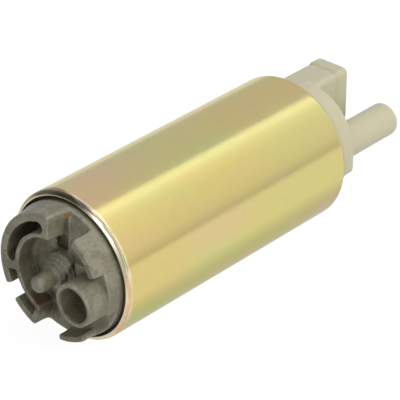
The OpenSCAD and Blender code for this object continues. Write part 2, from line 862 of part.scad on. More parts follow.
module brush_holder() {
    color("ivory") on_axis() difference() {
        union() {
            rod(insert_r, holder_start, holder_top);
            rod(bush_r + holder_hub_wall, upper_bush_start, upper_bush_top);
            for (side = [-1, 1]) at_brush(side) square_rod(guide_outer, guide_start, holder_top + guide_h);
        }
        for (side = [-1, 1]) at_brush(side)
            square_rod(guide_inner, guide_start - cut, holder_top + guide_h + cut);
        rod(bush_r + press_gap, upper_bush_start - cut, upper_bush_top + cut);
        // the fuel passages beside the guides
        for (turn = [0, 180]) rotate([0, 0, brush_angle + turn])
            ring_sector(
                cavity_r - passage_w, cavity_r - passage_edge, passage_from, 180 - passage_from,
                holder_start - cut, holder_top + cut
            );
    }
}

module brush(side) {
    color("dimgray") on_axis() at_brush(side) square_rod(brush_w, brush_start, brush_end);
}

module brush_positive() {
    brush(1);
}

module brush_negative() {
    brush(-1);
}

module brush_spring(side) {
    color("silver") on_axis() at_brush(side)
        helix(brush_spring_d, brush_wire, 4, brush_end + spring_gap, roof_start - spring_gap);
}

module brush_spring_positive() {
    brush_spring(1);
}

module brush_spring_negative() {
    brush_spring(-1);
}

module brush_lead(side) {
    color("coral") on_axis() at_brush(side) rod(lead_d / 2, brush_end + eps, roof_start - spring_gap);
}

module brush_lead_positive() {
    brush_lead(1);
}

module brush_lead_negative() {
    brush_lead(-1);
}

// Places its children along one choke
module at_choke(side) {
    rotate([0, 0, brush_angle + 90])
        translate([side * choke_place, 0, holder_top + choke_gap + choke_core_d / 2 + choke_wire])
            rotate([90, 0, 0]) children();
}

module choke_cores() {
    color("black") on_axis() for (side = [-1, 1]) at_choke(side)
        rod(choke_core_d / 2, -choke_len / 2, choke_len / 2);
}

// The turns of one choke, as one solid with a ridge for each turn
module choke_turns() {
    turns = floor((choke_len - choke_bare) / choke_wire);
    start = -turns * choke_wire / 2;
    inner = choke_core_d / 2 + press_gap;
    rotate_extrude($fn = 32) polygon(concat(
        [[inner, start]],
        [for (i = [0:turns - 1]) each [
            [inner + choke_wire / 2, start + i * choke_wire],
            [inner + choke_wire, start + (i + 0.5) * choke_wire]
        ]],
        [[inner + choke_wire / 2, -start], [inner, -start]]
    ));
}

module choke_windings() {
    color("orangered") on_axis() for (side = [-1, 1]) at_choke(side) choke_turns();
}

// A contact blade with a foot on the brush holder
module terminal(z, foot_dir) {
    translate([tower_y - blade_w / 2, z - blade_t / 2, holder_top])
        cube([blade_w, blade_t, tower_end - blade_sunk - holder_top]);
    translate([min(0, foot_dir * foot_len) + tower_y, z - foot_w / 2, holder_top])
        cube([foot_len, foot_w, foot_t]);
}

module terminal_positive() {
    color("gold") on_axis() terminal(tower_mid_z + blade_pitch / 2, 1);
}

module terminal_negative() {
    color("gold") on_axis() terminal(tower_mid_z - blade_pitch / 2, -1);
}

// A box with rounded corners along the axis
module tower_box(w, tall, corner, start, end) {
    translate([tower_y, tower_mid_z, start]) linear_extrude(end - start) {
        square([w - 2 * corner, tall], center = true);
        square([w, tall - 2 * corner], center = true);
        for (sx = [-1, 1]) for (sy = [-1, 1])
            translate([sx * (w / 2 - corner), sy * (tall / 2 - corner)]) circle(r = corner, $fn = 32);
    }
}

module end_cap() {
    color("wheat") on_axis() difference() {
        union() {
            rod(insert_r, holder_top, outlet_lip_start);
            chamfered_rod(neck_r, outlet_lip_start - eps, rim_top, cap_chamfer);
            ring_sector(neck_r - side_wall_t, neck_r - wall_inset, side_from, side_end,
                rim_top - cap_root, side_top);
            rotate([0, 0, platform_dir]) translate([platform_off, 0, 0])
                chamfered_rod(platform_d / 2, rim_top - cap_root, platform_top, cap_chamfer);
            tower_box(tower_w, tower_tall, tower_round, rim_top - cap_root, tower_end);
            tower_box(collar_w, collar_tall, tower_round, collar_start, tower_end);
            translate([nipple_y, nipple_z, 0])
                chamfered_rod(nipple_d / 2, rim_top - cap_root, nipple_end, nipple_round);
            translate([relief_y, relief_z, 0]) rod(relief_boss_d / 2, rim_top - cap_root, relief_top);
        }
        rod(cavity_r, holder_top - cut, roof_start);
        // the groove of the sealing ring
        tube(seal_r - groove_half, insert_r + cut, seal_z - groove_half, seal_z + groove_half);
        // the socket and the slots of its two blades
        tower_box(socket_w, socket_tall, tower_round / 2, socket_start, tower_end + cut);
        for (side = [-1, 1]) translate([tower_y, tower_mid_z + side * blade_pitch / 2, 0])
            translate([-blade_w / 2 - blade_fit, -blade_t / 2 - blade_fit, roof_start - cut])
                cube([blade_w + 2 * blade_fit, blade_t + 2 * blade_fit, socket_start - roof_start + 2 * cut]);
        // the valve chamber and the bore of the nipple
        translate([nipple_y, nipple_z, 0]) {
            rod(chamber_d / 2, roof_start - cut, chamber_top);
            rod(nipple_bore_d / 2, chamber_top - cut, nipple_end + cut);
        }
        // the relief valve
        translate([relief_y, relief_z, 0]) {
            rod(relief_port_d / 2, roof_start - cut, relief_top);
            rod(relief_chamber_r, relief_seat, relief_top + cut);
        }
    }
}

module cap_seal() {
    color("black") on_axis() translate([0, 0, seal_z]) rotate_extrude()
        translate([seal_r, 0]) circle(r = seal_d / 2, $fn = 32);
}

module check_valve_seat() {
    color("silver") on_axis() translate([nipple_y, nipple_z, 0])
        tube(valve_seat_bore_d / 2, chamber_d / 2 - press_gap, roof_start, valve_seat_top);
}

module check_valve_poppet() {
    color("white") on_axis() translate([nipple_y, nipple_z, 0]) {
        rod(poppet_d / 2, poppet_start, poppet_top);
        rod(poppet_stem_r, poppet_top - eps, poppet_top + poppet_stem_len);
        intersection() {
            rod(poppet_r, poppet_start, poppet_top);
            for (turn = [0, 60, 120]) rotate([0, 0, turn])
                translate([-poppet_r, -poppet_rib_t / 2, poppet_start])
                    cube([2 * poppet_r, poppet_rib_t, poppet_t]);
        }
    }
}

module check_valve_spring() {
    color("silver") on_axis() translate([nipple_y, nipple_z, 0])
        helix(valve_spring_d, valve_wire, 5, poppet_top + spring_gap, chamber_top - spring_gap);
}

module relief_valve_ball() {
    color("silver") on_axis() translate([relief_y, relief_z, relief_ball_z]) sphere(r = relief_ball_d / 2);
}

module relief_valve_spring() {
    // where the wire rests on the ball
    rest = sqrt(pow(relief_ball_d / 2 + relief_wire / 2 + spring_gap, 2) - pow(relief_spring_d / 2, 2));
    start = relief_ball_z + rest - relief_wire / 2;
    color("silver") on_axis() translate([relief_y, relief_z, 0])
        helix(relief_spring_d, relief_wire, 3, start, relief_plug_start - spring_gap);
}

module relief_valve_plug() {
    color("peru") on_axis() translate([relief_y, relief_z, 0])
        tube(relief_plug_bore_d / 2, relief_chamber_r - press_gap, relief_plug_start, relief_top);
}

housing_shell();
inlet_cover();
thrust_button();
spacer_ring();
impeller();
pump_casing();
lower_bush();
shaft();
armature_core();
armature_windings();
armature_insulators();
commutator_hub();
commutator_segments();
thrust_washer();
magnet_left();
magnet_right();
magnet_clips();
brush_holder();
upper_bush();
brush_positive();
brush_negative();
brush_spring_positive();
brush_spring_negative();
brush_lead_positive();
brush_lead_negative();
choke_cores();
choke_windings();
terminal_positive();
terminal_negative();
end_cap();
cap_seal();
check_valve_seat();
check_valve_poppet();
check_valve_spring();
relief_valve_ball();
relief_valve_spring();
relief_valve_plug();
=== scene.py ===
import functools
import itertools
import logging
import math
from dataclasses import dataclass
from enum import Enum

import bmesh
import bpy
import numpy as np
from mathutils import Euler, Matrix, Vector


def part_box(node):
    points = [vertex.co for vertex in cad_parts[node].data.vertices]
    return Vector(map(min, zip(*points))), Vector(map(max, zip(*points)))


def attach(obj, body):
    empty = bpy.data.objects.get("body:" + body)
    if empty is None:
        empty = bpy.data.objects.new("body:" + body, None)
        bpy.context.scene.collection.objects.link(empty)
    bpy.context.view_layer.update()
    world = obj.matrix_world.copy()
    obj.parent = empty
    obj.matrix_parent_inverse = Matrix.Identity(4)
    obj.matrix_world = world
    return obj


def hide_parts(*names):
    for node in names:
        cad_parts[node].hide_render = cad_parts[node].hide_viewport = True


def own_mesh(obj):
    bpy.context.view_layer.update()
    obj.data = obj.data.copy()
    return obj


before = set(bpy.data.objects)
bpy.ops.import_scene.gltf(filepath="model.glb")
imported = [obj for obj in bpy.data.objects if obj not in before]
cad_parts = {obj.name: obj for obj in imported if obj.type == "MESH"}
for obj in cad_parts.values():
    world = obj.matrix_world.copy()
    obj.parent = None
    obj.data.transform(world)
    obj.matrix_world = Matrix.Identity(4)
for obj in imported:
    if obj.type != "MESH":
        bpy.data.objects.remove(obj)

log = logging.getLogger("fuel_pump")

MM = 0.001

Pair = tuple[float, float]
Point = tuple[float, float, float]
Colour = tuple[float, float, float]
Mesh = bpy.types.Mesh
Material = bpy.types.Material
Tree = bpy.types.NodeTree
Node = bpy.types.Node
Outputs = bpy.types.NodeOutputs
Socket = bpy.types.NodeSocket
Input = Socket | float | int | bool | tuple | None
Array = np.ndarray

# A first and a last value, and what Graph.remap makes of each
Range = tuple[float, float, float, float]


# Sizes that several sub-assemblies share


@dataclass(frozen=True)
class PumpSizes:
    """The driving sizes of the pump, in millimetres, with places along it measured from the inlet rim."""

    barrel_r: float
    barrel_len: float
    lip_t: float = 0.9
    inlet_mouth_r: float = 17.7
    outlet_mouth_r: float = 17.8
    seat_r: float = 18.2
    bore_r: float = 17.4
    insert_r: float = 18.1
    cover_face: float = 9.0
    inlet_seat: float = 21.5
    holder_start: float = 65.2
    holder_top: float = 67.7
    roof_start: float = 74.5

    @classmethod
    def from_frame(cls) -> "PumpSizes":
        """Takes the barrel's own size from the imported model."""
        low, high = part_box("housing_shell")
        return cls(barrel_r=(high.z - low.z) / 2 / MM, barrel_len=(high.x - low.x) / MM)

    def row(self, across: float, up: float, along: float) -> Vector:
        """Gives the point of the row frame, in metres, of a place on the pump's own axis system."""
        return Vector((along - self.barrel_len / 2, across, up)) * MM


# Node trees


class Graph:
    """Short calls for building one node tree."""

    def __init__(self, tree: Tree) -> None:
        """Keeps the tree that the calls add to."""
        self.tree = tree

    def node(self, kind: str, inputs: dict[str | int, Input] | None = None, **settings: object) -> Node:
        """Adds a node.

        Args:
            kind: The node's Blender type.
            inputs: Values or sockets for its inputs, by name or number. None leaves an input as it is.
            settings: Values for its properties, which are set before the inputs.

        Returns:
            The new node.
        """
        made = self.tree.nodes.new(kind)
        for name, value in settings.items():
            setattr(made, name, value)
        for key, value in (inputs or {}).items():
            self.feed(made.inputs[key], value)
        return made

    def first(self, kind: str, inputs: dict[str | int, Input] | None = None, **settings: object) -> Socket:
        """Adds a node, as node does, and gives its first output."""
        return self.node(kind, inputs, **settings).outputs[0]

    def feed(self, socket: Socket, value: Input) -> None:
        """Links a socket to an input, or sets its value.

        Args:
            socket: The input.
            value: The socket or the value. None leaves the input as it is.
        """
        if isinstance(value, Socket):
            self.tree.links.new(value, socket)
        elif value is not None:
            socket.default_value = value

    def math(self, operation: str, first: Input, second: Input = None, third: Input = None) -> Socket:
        """Adds a Math node with up to three values and gives its result."""
        inputs = {0: first, 1: second, 2: third}
        return self.first("ShaderNodeMath", inputs, operation=operation)

    def times(self, *factors: Input) -> Socket:
        """Multiplies values with each other."""
        return functools.reduce(lambda product, factor: self.math("MULTIPLY", product, factor), factors)

    def plus(self, first: Input, second: Input) -> Socket:
        """Adds two values."""
        return self.math("ADD", first, second)

    def minus(self, first: Input, second: Input) -> Socket:
        """Takes the second value from the first."""
        return self.math("SUBTRACT", first, second)

    def vector(self, operation: str, first: Input, second: Input = None) -> Outputs:
        """Adds a Vector Math node and gives its outputs."""
        return self.node("ShaderNodeVectorMath", {0: first, 1: second}, operation=operation).outputs

    def scaled(self, vector: Socket, factor: Input) -> Socket:
        """Multiplies a vector or a colour by a number."""
        return self.first("ShaderNodeVectorMath", {0: vector, "Scale": factor}, operation="SCALE")

    def stretched(self, place: Input, scale: Point) -> Socket:
        """Multiplies the coordinates of a place one by one."""
        return self.first("ShaderNodeMapping", {"Vector": place, "Scale": scale})

    def parts(self, vector: Socket) -> Outputs:
        """Gives the three coordinates of a vector."""
        return self.node("ShaderNodeSeparateXYZ", {0: vector}).outputs

    def point(self, x: Input = None, y: Input = None, z: Input = None) -> Socket:
        """Makes a vector of three coordinates. One that is left out is zero."""
        return self.first("ShaderNodeCombineXYZ", {0: x, 1: y, 2: z})

    def moved(self, geometry: Socket, position: Input = None, offset: Input = None) -> Socket:
        """Moves a geometry's points to a position, or by an offset."""
        inputs = {"Geometry": geometry, "Position": position, "Offset": offset}
        return self.first("GeometryNodeSetPosition", inputs)

    def turned(self, vector: Socket, angle: Socket) -> Socket:
        """Turns a vector round the Z axis."""
        inputs = {"Vector": vector, "Angle": angle}
        return self.first("ShaderNodeVectorRotate", inputs, rotation_type="Z_AXIS")

    def blend(self, share: Input, first: Input, second: Input, mode: str = "MIX") -> Socket:
        """Mixes two colours: share is how much of the second one shows."""
        made = self.node("ShaderNodeMix", {0: share, 6: first, 7: second}, data_type="RGBA", blend_type=mode)
        return made.outputs[2]

    def remap(self, value: Input, low: Input, high: Input, to_low: Input = 0.0, to_high: Input = 1.0,
              smooth: bool = False) -> Socket:
        """Maps a value from low and high to to_low and to_high, clamps it, and eases the ends if asked to."""
        inputs = {"Value": value, "From Min": low, "From Max": high, "To Min": to_low, "To Max": to_high}
        return self.node("ShaderNodeMapRange", inputs,
                         interpolation_type="SMOOTHSTEP" if smooth else "LINEAR").outputs["Result"]

    def noise(self, vector: Input, scale: Input, detail: float = 3.0, rough: float = 0.5) -> Socket:
        """Adds a Noise Texture and returns its value, which lies round a half."""
        inputs = {"Vector": vector, "Scale": scale, "Detail": detail, "Roughness": rough}
        return self.first("ShaderNodeTexNoise", inputs)

    def ramp(self, value: Input, stops: list[tuple[float, Colour]]) -> Socket:
        """Adds a Color Ramp.

        Args:
            value: The value to look up.
            stops: Places from 0 to 1, each with its colour.

        Returns:
            The colour's socket.
        """
        made = self.node("ShaderNodeValToRGB", {0: value})
        elements = made.color_ramp.elements
        while len(elements) < len(stops):
            elements.new(0.5)
        for element, (place, colour) in zip(elements, stops):
            element.position = place
            element.color = rgba(colour)
        return made.outputs[0]


def rgba(colour: Colour) -> tuple[float, float, float, float]:
    """Gives a colour its alpha."""
    return (*colour, 1.0)


def empty_graph(owner: Material | bpy.types.World) -> Graph:
    """Gives a material or the world an empty node tree.

    Args:
        owner: The material or the world.

    Returns:
        The graph of its tree.
    """
    owner.use_nodes = True
    owner.node_tree.nodes.clear()
    return Graph(owner.node_tree)


def new_group(name: str, kind: str, inputs: dict[str, object],
              outputs: dict[str, str]) -> tuple[Graph, Outputs, Node]:
    """Starts a node group with named sockets.

    Args:
        name: The group's name.
        kind: The tree's Blender type.
        inputs: Each input's default value, or the name of its socket type.
        outputs: Each output's socket type.

    Returns:
        The graph of the group, its inputs' sockets and its output node.
    """
    tree = bpy.data.node_groups.new(name, kind)
    for title, value in inputs.items():
        if isinstance(value, str):
            tree.interface.new_socket(name=title, in_out="INPUT", socket_type=value)
            continue
        socket_type = {tuple: "NodeSocketColor", int: "NodeSocketInt", float: "NodeSocketFloat"}[type(value)]
        socket = tree.interface.new_socket(name=title, in_out="INPUT", socket_type=socket_type)
        socket.default_value = rgba(value) if isinstance(value, tuple) else value
    for title, socket_type in outputs.items():
        tree.interface.new_socket(name=title, in_out="OUTPUT", socket_type=socket_type)
    graph = Graph(tree)
    return graph, graph.node("NodeGroupInput").outputs, graph.node("NodeGroupOutput")


# Effects that several finishes share


class SharedEffects:
    """The shader groups for grain, patches of tone, and worn edges with painted shade and grime in hollows,
    built once.
    """

    patch_edge: float = 0.14
    rub_breakup: Range = (0.4, 0.62, 0.1, 1.0)
    hollow_wander: float = 0.25

    def __init__(self) -> None:
        """Builds every group."""
        self.grain = self.build_grain()
        self.patches = self.build_patches()
        self.wear_and_shade = self.build_wear_and_shade()

    def build_grain(self) -> Tree:
        """Builds the fine relief of a surface.

        Returns:
            The group, with a height for Bump and a mask round a half.
        """
        inputs = {"Vector": "NodeSocketVector", "Scale": 900.0, "Ripple Scale": 120.0, "Ripple": 0.4}
        outputs = {"Height": "NodeSocketFloat", "Mask": "NodeSocketFloat"}
        graph, entry, leave = new_group("surface_grain", "ShaderNodeTree", inputs, outputs)
        fine = graph.noise(entry["Vector"], entry["Scale"], 4.0, 0.6)
        ripple = graph.noise(entry["Vector"], entry["Ripple Scale"], 1.5)
        graph.feed(leave.inputs["Height"], graph.math("MULTIPLY_ADD", ripple, entry["Ripple"], fine))
        graph.feed(leave.inputs["Mask"], fine)
        return graph.tree

    def build_patches(self) -> Tree:
        """Builds soft patches of another tone.

        Returns:
            The group, with the coloured result.
        """
        inputs = {
            "Vector": "NodeSocketVector", "Color": (0.5, 0.5, 0.5), "Patch Color": (0.4, 0.4, 0.4),
            "Scale": 90.0, "Cover": 0.5, "Amount": 0.6,
        }
        outputs = {"Color": "NodeSocketColor"}
        graph, entry, leave = new_group("tone_patches", "ShaderNodeTree", inputs, outputs)
        cloud = graph.noise(entry["Vector"], entry["Scale"], 3.0, 0.55)
        edge = graph.minus(1.0, entry["Cover"])
        low, high = graph.minus(edge, self.patch_edge), graph.plus(edge, self.patch_edge)
        mask = graph.times(graph.remap(cloud, low, high, smooth=True), entry["Amount"])
        graph.feed(leave.inputs["Color"], graph.blend(mask, entry["Color"], entry["Patch Color"]))
        return graph.tree

    def build_wear_and_shade(self) -> Tree:
        """Builds rubbed edges, and painted shade with grime in hollows, from a skin's own edge and hollow
        attributes.

        Returns:
            The group, with the coloured result.
        """
        inputs = {
            "Vector": "NodeSocketVector", "Color": (0.5, 0.5, 0.5), "Bare Color": (0.7, 0.7, 0.7),
            "Grime Shade Color": (0.05, 0.04, 0.03), "Bare": 0.6, "Grime Shade": 0.8, "Edge Start": 0.02,
            "Edge End": 0.1, "Hollow Start": 0.6, "Hollow End": 0.85, "Breakup Scale": 600.0,
        }
        graph, entry, leave = new_group("edge_wear_and_hollow_shade", "ShaderNodeTree", inputs, {"Color": "NodeSocketColor"})
        edge = graph.node("ShaderNodeAttribute", attribute_name="edge").outputs["Fac"]
        hollow = graph.node("ShaderNodeAttribute", attribute_name="hollow").outputs["Fac"]
        breakup = graph.noise(entry["Vector"], entry["Breakup Scale"], 3.0, 0.6)
        rubbed = graph.remap(edge, entry["Edge Start"], entry["Edge End"], smooth=True)
        bare = graph.times(rubbed, graph.remap(breakup, *self.rub_breakup), entry["Bare"])
        # Painted shade with grime: the colour darkens where the skin's hollow attribute is high, deep in a
        # hollow.
        shifted = graph.math("MULTIPLY_ADD", graph.minus(breakup, 0.5), self.hollow_wander, hollow)
        sunk = graph.remap(shifted, entry["Hollow Start"], entry["Hollow End"], smooth=True)
        worn = graph.blend(bare, entry["Color"], entry["Bare Color"])
        grime_shaded = graph.blend(graph.times(sunk, entry["Grime Shade"]), worn, entry["Grime Shade Color"])
        graph.feed(leave.inputs["Color"], grime_shaded)
        return graph.tree


# Finishes


class Surface(Graph):
    """The graph of one material, with its object coordinates and the effects that it shares."""

    def __init__(self, material: Material, effects: SharedEffects) -> None:
        """Starts the material's tree afresh.

        Args:
            material: The material.
            effects: The shared shader groups.
        """
        super().__init__(empty_graph(material).tree)
        self.effects = effects
        self.place = self.node("ShaderNodeTexCoord").outputs["Object"]

    def facing(self, turn: float) -> Socket:
        """Measures how closely a place faces a direction round the axis.

        Args:
            turn: The direction, in degrees.

        Returns:
            The cosine of the angle between them.
        """
        outward = self.vector("NORMALIZE", self.vector("MULTIPLY", self.place, (0.0, 1.0, 1.0))[0])[0]
        aim = (0.0, math.cos(math.radians(turn)), math.sin(math.radians(turn)))
        return self.vector("DOT_PRODUCT", outward, aim)["Value"]


@dataclass(frozen=True)
class Finish:
    """A plain finish: a colour with patches of another tone, fine grain and an uneven gloss."""

    name: str
    colour: Colour
    patch_colour: Colour
    metallic: float = 0.0
    roughness: float = 0.45
    uneven: float = 0.12
    patch_scale: float = 120.0
    patch_cover: float = 0.5
    patch_amount: float = 0.5
    grain_scale: float = 1500.0
    grain_stretch: Point = (1.0, 1.0, 1.0)
    ripple: float = 0.3
    relief: float = 0.15
    relief_depth: float = 0.00003
    mottle: float = 0.07
    grain_span: Pair = (0.3, 0.7)

    def material(self, effects: SharedEffects) -> Material:
        """Builds the finish.

        Args:
            effects: The shared shader groups.

        Returns:
            A material made of nodes.
        """
        made = bpy.data.materials.new(self.name)
        graph = Surface(made, effects)
        grain_inputs = {
            "Vector": graph.stretched(graph.place, self.grain_stretch), "Scale": self.grain_scale,
            "Ripple": self.ripple,
        }
        grain = graph.node("ShaderNodeGroup", grain_inputs, node_tree=effects.grain).outputs
        colour = self.paint(graph, grain["Mask"])
        gloss = (self.roughness - self.uneven, self.roughness + self.uneven)
        relief = {"Height": grain["Height"], "Strength": self.relief, "Distance": self.relief_depth}
        surface = {
            "Base Color": colour, "Roughness": graph.remap(grain["Mask"], *self.grain_span, *gloss),
            "Metallic": self.metallic, "Normal": graph.first("ShaderNodeBump", relief),
        }
        shader = graph.node("ShaderNodeBsdfPrincipled", surface)
        self.adjust(graph, shader)
        graph.node("ShaderNodeOutputMaterial", {"Surface": shader.outputs[0]})
        return made

    def paint(self, graph: Surface, grain: Socket) -> Socket:
        """Builds the colour.

        Args:
            graph: The material's graph.
            grain: The grain's mask.

        Returns:
            The colour's socket.
        """
        patches = self.patched(graph, rgba(self.colour))
        lift = graph.remap(grain, *self.grain_span, 1.0 - self.mottle, 1.0 + self.mottle)
        return graph.scaled(patches, lift)

    def patched(self, graph: Surface, colour: Input) -> Socket:
        """Lays the finish's patches over a colour.

        Args:
            graph: The material's graph.
            colour: The colour under the patches.

        Returns:
            The colour's socket.
        """
        values = {
            "Vector": graph.place, "Color": colour, "Patch Color": rgba(self.patch_colour),
            "Scale": self.patch_scale, "Cover": self.patch_cover, "Amount": self.patch_amount,
        }
        return graph.node("ShaderNodeGroup", values, node_tree=graph.effects.patches).outputs["Color"]

    def adjust(self, graph: Surface, shader: Node) -> None:
        """Changes the shader where a finish needs more than the plain one."""


@dataclass(frozen=True)
class RimMarks:
    """What the rolling tool left on the bead, worn metal and rose blotches, with painted light on it: a glint
    on the worn metal, a dark reflection on the worn metal further round, and brown dark reflections along the
    fold line and on the top.

    Depths are metres from the rim, turns are directions round the axis in degrees, and an arc is how closely
    a place faces its direction. The marks are faint at the outlet end.
    """

    rim_x: float = 0.0391
    inlet_share: Range = (-0.01, 0.01, 1.0, 0.03)
    cloud_scale: float = 260.0
    wander: float = 0.0009
    burnished: Colour = (0.89, 0.81, 0.56)
    bead_depth: Range = (0.00175, 0.0012, 0.0, 0.9)
    worn_depth: Range = (0.00076, 0.00036, 0.0, 0.85)
    # Painted glint: the worn metal facing the fold turn is paler, the colour of a glint.
    glint_steel: Colour = (0.93, 0.91, 0.74)
    fold_turn: float = 130.0
    glint_arc: Range = (0.86, 0.98, 0.3, 1.0)
    # Painted dark reflection: the worn metal facing about 159 degrees round the axis is darker.
    dark_reflection_steel: Colour = (0.36, 0.34, 0.24)
    dark_reflection_turn: float = 159.0
    dark_reflection_arc: Range = (0.93, 0.995, 0.0, 0.85)
    rose: Colour = (0.8, 0.51, 0.29)
    rose_turn: float = 195.0
    spot_cloud: Range = (0.52, 0.66, 0.0, 0.8)
    spot_depth: Range = (0.003, 0.001, 0.0, 1.0)
    spot_arc: Range = (0.2, 0.9, 0.3, 1.0)
    flush_cloud: Range = (0.36, 0.56, 0.35, 1.0)
    flush_depth: Range = (0.0019, 0.0014, 0.0, 1.0)
    flush_lip: Range = (0.00005, 0.0003, 0.0, 1.0)
    flush_arc: Range = (0.82, 0.95, 0.0, 0.8)
    # Painted dark reflection: brown along the fold line and on the top of the bead.
    brown: Colour = (0.2, 0.15, 0.075)
    fold_at: float = 0.00066
    fold_width: Range = (0.0003, 0.00009, 0.0, 0.62)
    fold_arc: Range = (0.8, 0.97, 0.0, 1.0)
    brown_turn: float = 60.0
    brown_reach: Range = (0.72, 1.0, 0.0, 0.0026)
    brown_edge: Range = (-0.0002, 0.0006, 0.0, 1.0)
    brown_lip: Range = (0.00005, 0.0003, 0.45, 0.9)

    def over(self, graph: Surface, film: Socket) -> Socket:
        """Builds the marks over the film.

        Args:
            graph: The material's graph.
            film: The film's colour.

        Returns:
            The colour with the marks on it.
        """
        axial = graph.parts(graph.place)[0]
        depth = graph.minus(self.rim_x, graph.math("ABSOLUTE", axial))
        inlet_end = graph.remap(axial, *self.inlet_share)
        cloud = graph.noise(graph.place, self.cloud_scale, 4.0, 0.6)
        uneven = graph.math("MULTIPLY_ADD", graph.minus(cloud, 0.5), self.wander, depth)
        worn = graph.remap(uneven, *self.worn_depth, True)
        fold_side, low = graph.facing(self.fold_turn), graph.facing(self.rose_turn)
        spots = graph.times(graph.remap(cloud, *self.spot_cloud), graph.remap(depth, *self.spot_depth),
                            graph.remap(low, *self.spot_arc))
        flush = graph.times(graph.remap(low, *self.flush_arc, True), graph.remap(uneven, *self.flush_depth),
                            graph.remap(depth, *self.flush_lip), graph.remap(cloud, *self.flush_cloud))
        # Painted dark reflection along the fold, on the side that faces the fold turn.
        off = graph.math("ABSOLUTE", graph.minus(uneven, self.fold_at))
        fold = graph.times(graph.remap(off, *self.fold_width, True),
                           graph.remap(fold_side, *self.fold_arc, True))
        # Painted dark reflection on the top of the bead, brown where it faces upward.
        reach = graph.remap(graph.facing(self.brown_turn), *self.brown_reach)
        top = graph.times(graph.remap(graph.minus(reach, uneven), *self.brown_edge, True),
                          graph.remap(depth, *self.brown_lip))
        # Painted dark reflection on the worn metal facing about 159 degrees.
        dark_reflection = graph.remap(graph.facing(self.dark_reflection_turn), *self.dark_reflection_arc, True)
        layers = (
            (graph.remap(uneven, *self.bead_depth, True), self.burnished),
            (graph.times(worn, graph.remap(fold_side, *self.glint_arc, True)), self.glint_steel),
            (graph.times(worn, dark_reflection), self.dark_reflection_steel),
            (graph.math("MAXIMUM", spots, flush), self.rose),
            (graph.math("MAXIMUM", fold, top), self.brown),
        )
        for mask, colour in layers:
            film = graph.blend(graph.times(mask, inlet_end), film, rgba(colour))
        return film


@dataclass(frozen=True)
class ZincChromate(Finish):
    """Yellow chromate on zinc: an iridescent film that drifts between gold, green and rose."""

    gold: Colour = (0.735, 0.6, 0.22)
    green: Colour = (0.665, 0.63, 0.225)
    rose: Colour = (0.77, 0.565, 0.27)
    drift_scale: float = 60.0
    drift_stretch: Point = (0.4, 1.0, 1.0)
    tints: tuple[tuple[Point, float, Colour], ...] = ()
    tint_amount: float = 0.75
    marks: RimMarks = RimMarks()
    glancing: Colour = (0.85, 0.87, 0.79)

    def adjust(self, graph: Surface, shader: Node) -> None:
        """Tones the film down where it is seen at a glancing angle."""
        graph.feed(shader.inputs["Specular Tint"], rgba(self.glancing))

    def paint(self, graph: Surface, grain: Socket) -> Socket:
        """Builds the drifting colour of the film, with the marks of the rim, painted glint and dark
        reflections among them, and faint specks.

        Args:
            graph: The material's graph.
            grain: The grain's mask, which the film doesn't show.

        Returns:
            The colour's socket.
        """
        along = graph.stretched(graph.place, self.drift_stretch)
        drift = graph.noise(along, self.drift_scale, 2.5, 0.55)
        stops = [(0.36, self.green), (0.46, self.gold), (0.54, self.gold), (0.64, self.rose)]
        film = graph.ramp(drift, stops)
        for centre, reach, tint in self.tints:
            apart = graph.vector("DISTANCE", along, graph.stretched(centre, self.drift_stretch))["Value"]
            wander = graph.math("MULTIPLY_ADD", drift, reach, apart)
            mask = graph.remap(wander, reach * 0.5, reach * 1.6, self.tint_amount, 0.0, smooth=True)
            film = graph.blend(mask, film, rgba(tint))
        return self.patched(graph, self.marks.over(graph, film))


@dataclass(frozen=True)
class WornShadedSkin(Finish):
    """A finish on a cast or moulded skin, with rubbed edges, and painted shade with grime in its hollows."""

    bare_colour: Colour = (0.5, 0.5, 0.45)
    grime_shade_colour: Colour = (0.03, 0.025, 0.018)
    bare: float = 0.6
    grime_shade: float = 0.8
    edge_start: float = 0.02
    edge_end: float = 0.12
    hollow_start: float = 0.6
    hollow_end: float = 0.9
    breakup_scale: float = 500.0

    def paint(self, graph: Surface, grain: Socket) -> Socket:
        """Builds the colour with worn edges, painted shade and grime in hollows, and the finish's own marks.

        Args:
            graph: The material's graph.
            grain: The grain's mask.

        Returns:
            The colour's socket.
        """
        stained_and_shaded = self.stain_and_shade(graph, Finish.paint(self, graph, grain))
        values = {
            "Vector": graph.place, "Color": stained_and_shaded, "Bare Color": rgba(self.bare_colour),
            "Grime Shade Color": rgba(self.grime_shade_colour), "Bare": self.bare, "Grime Shade": self.grime_shade,
            "Edge Start": self.edge_start, "Edge End": self.edge_end, "Hollow Start": self.hollow_start,
            "Hollow End": self.hollow_end, "Breakup Scale": self.breakup_scale,
        }
        return graph.node("ShaderNodeGroup", values, node_tree=graph.effects.wear_and_shade).outputs["Color"]

    def stain_and_shade(self, graph: Surface, colour: Socket) -> Socket:
        """Gives the colour unchanged: this finish has no marks of its own."""
        return colour


@dataclass(frozen=True)
class StainAndShade:
    """One soft mark, used for rust, grime and painted shade: where it is, how far it reaches in metres, its
    colour and how strongly it shows.
    """

    at: Vector
    reach: float
    colour: Colour
    amount: float

    def mask(self, graph: Surface, ragged: Socket) -> Socket:
        """Builds the mark's mask.

        Args:
            graph: The material's graph.
            ragged: The noise that breaks its edge up.

        Returns:
            The mask's socket.
        """
        apart = graph.vector("DISTANCE", graph.place, tuple(self.at))["Value"]
        spread = graph.math("MULTIPLY_ADD", ragged, self.reach * 1.1, apart)
        return graph.remap(spread, self.reach * 0.9, self.reach * 1.6, self.amount, 0.0, smooth=True)


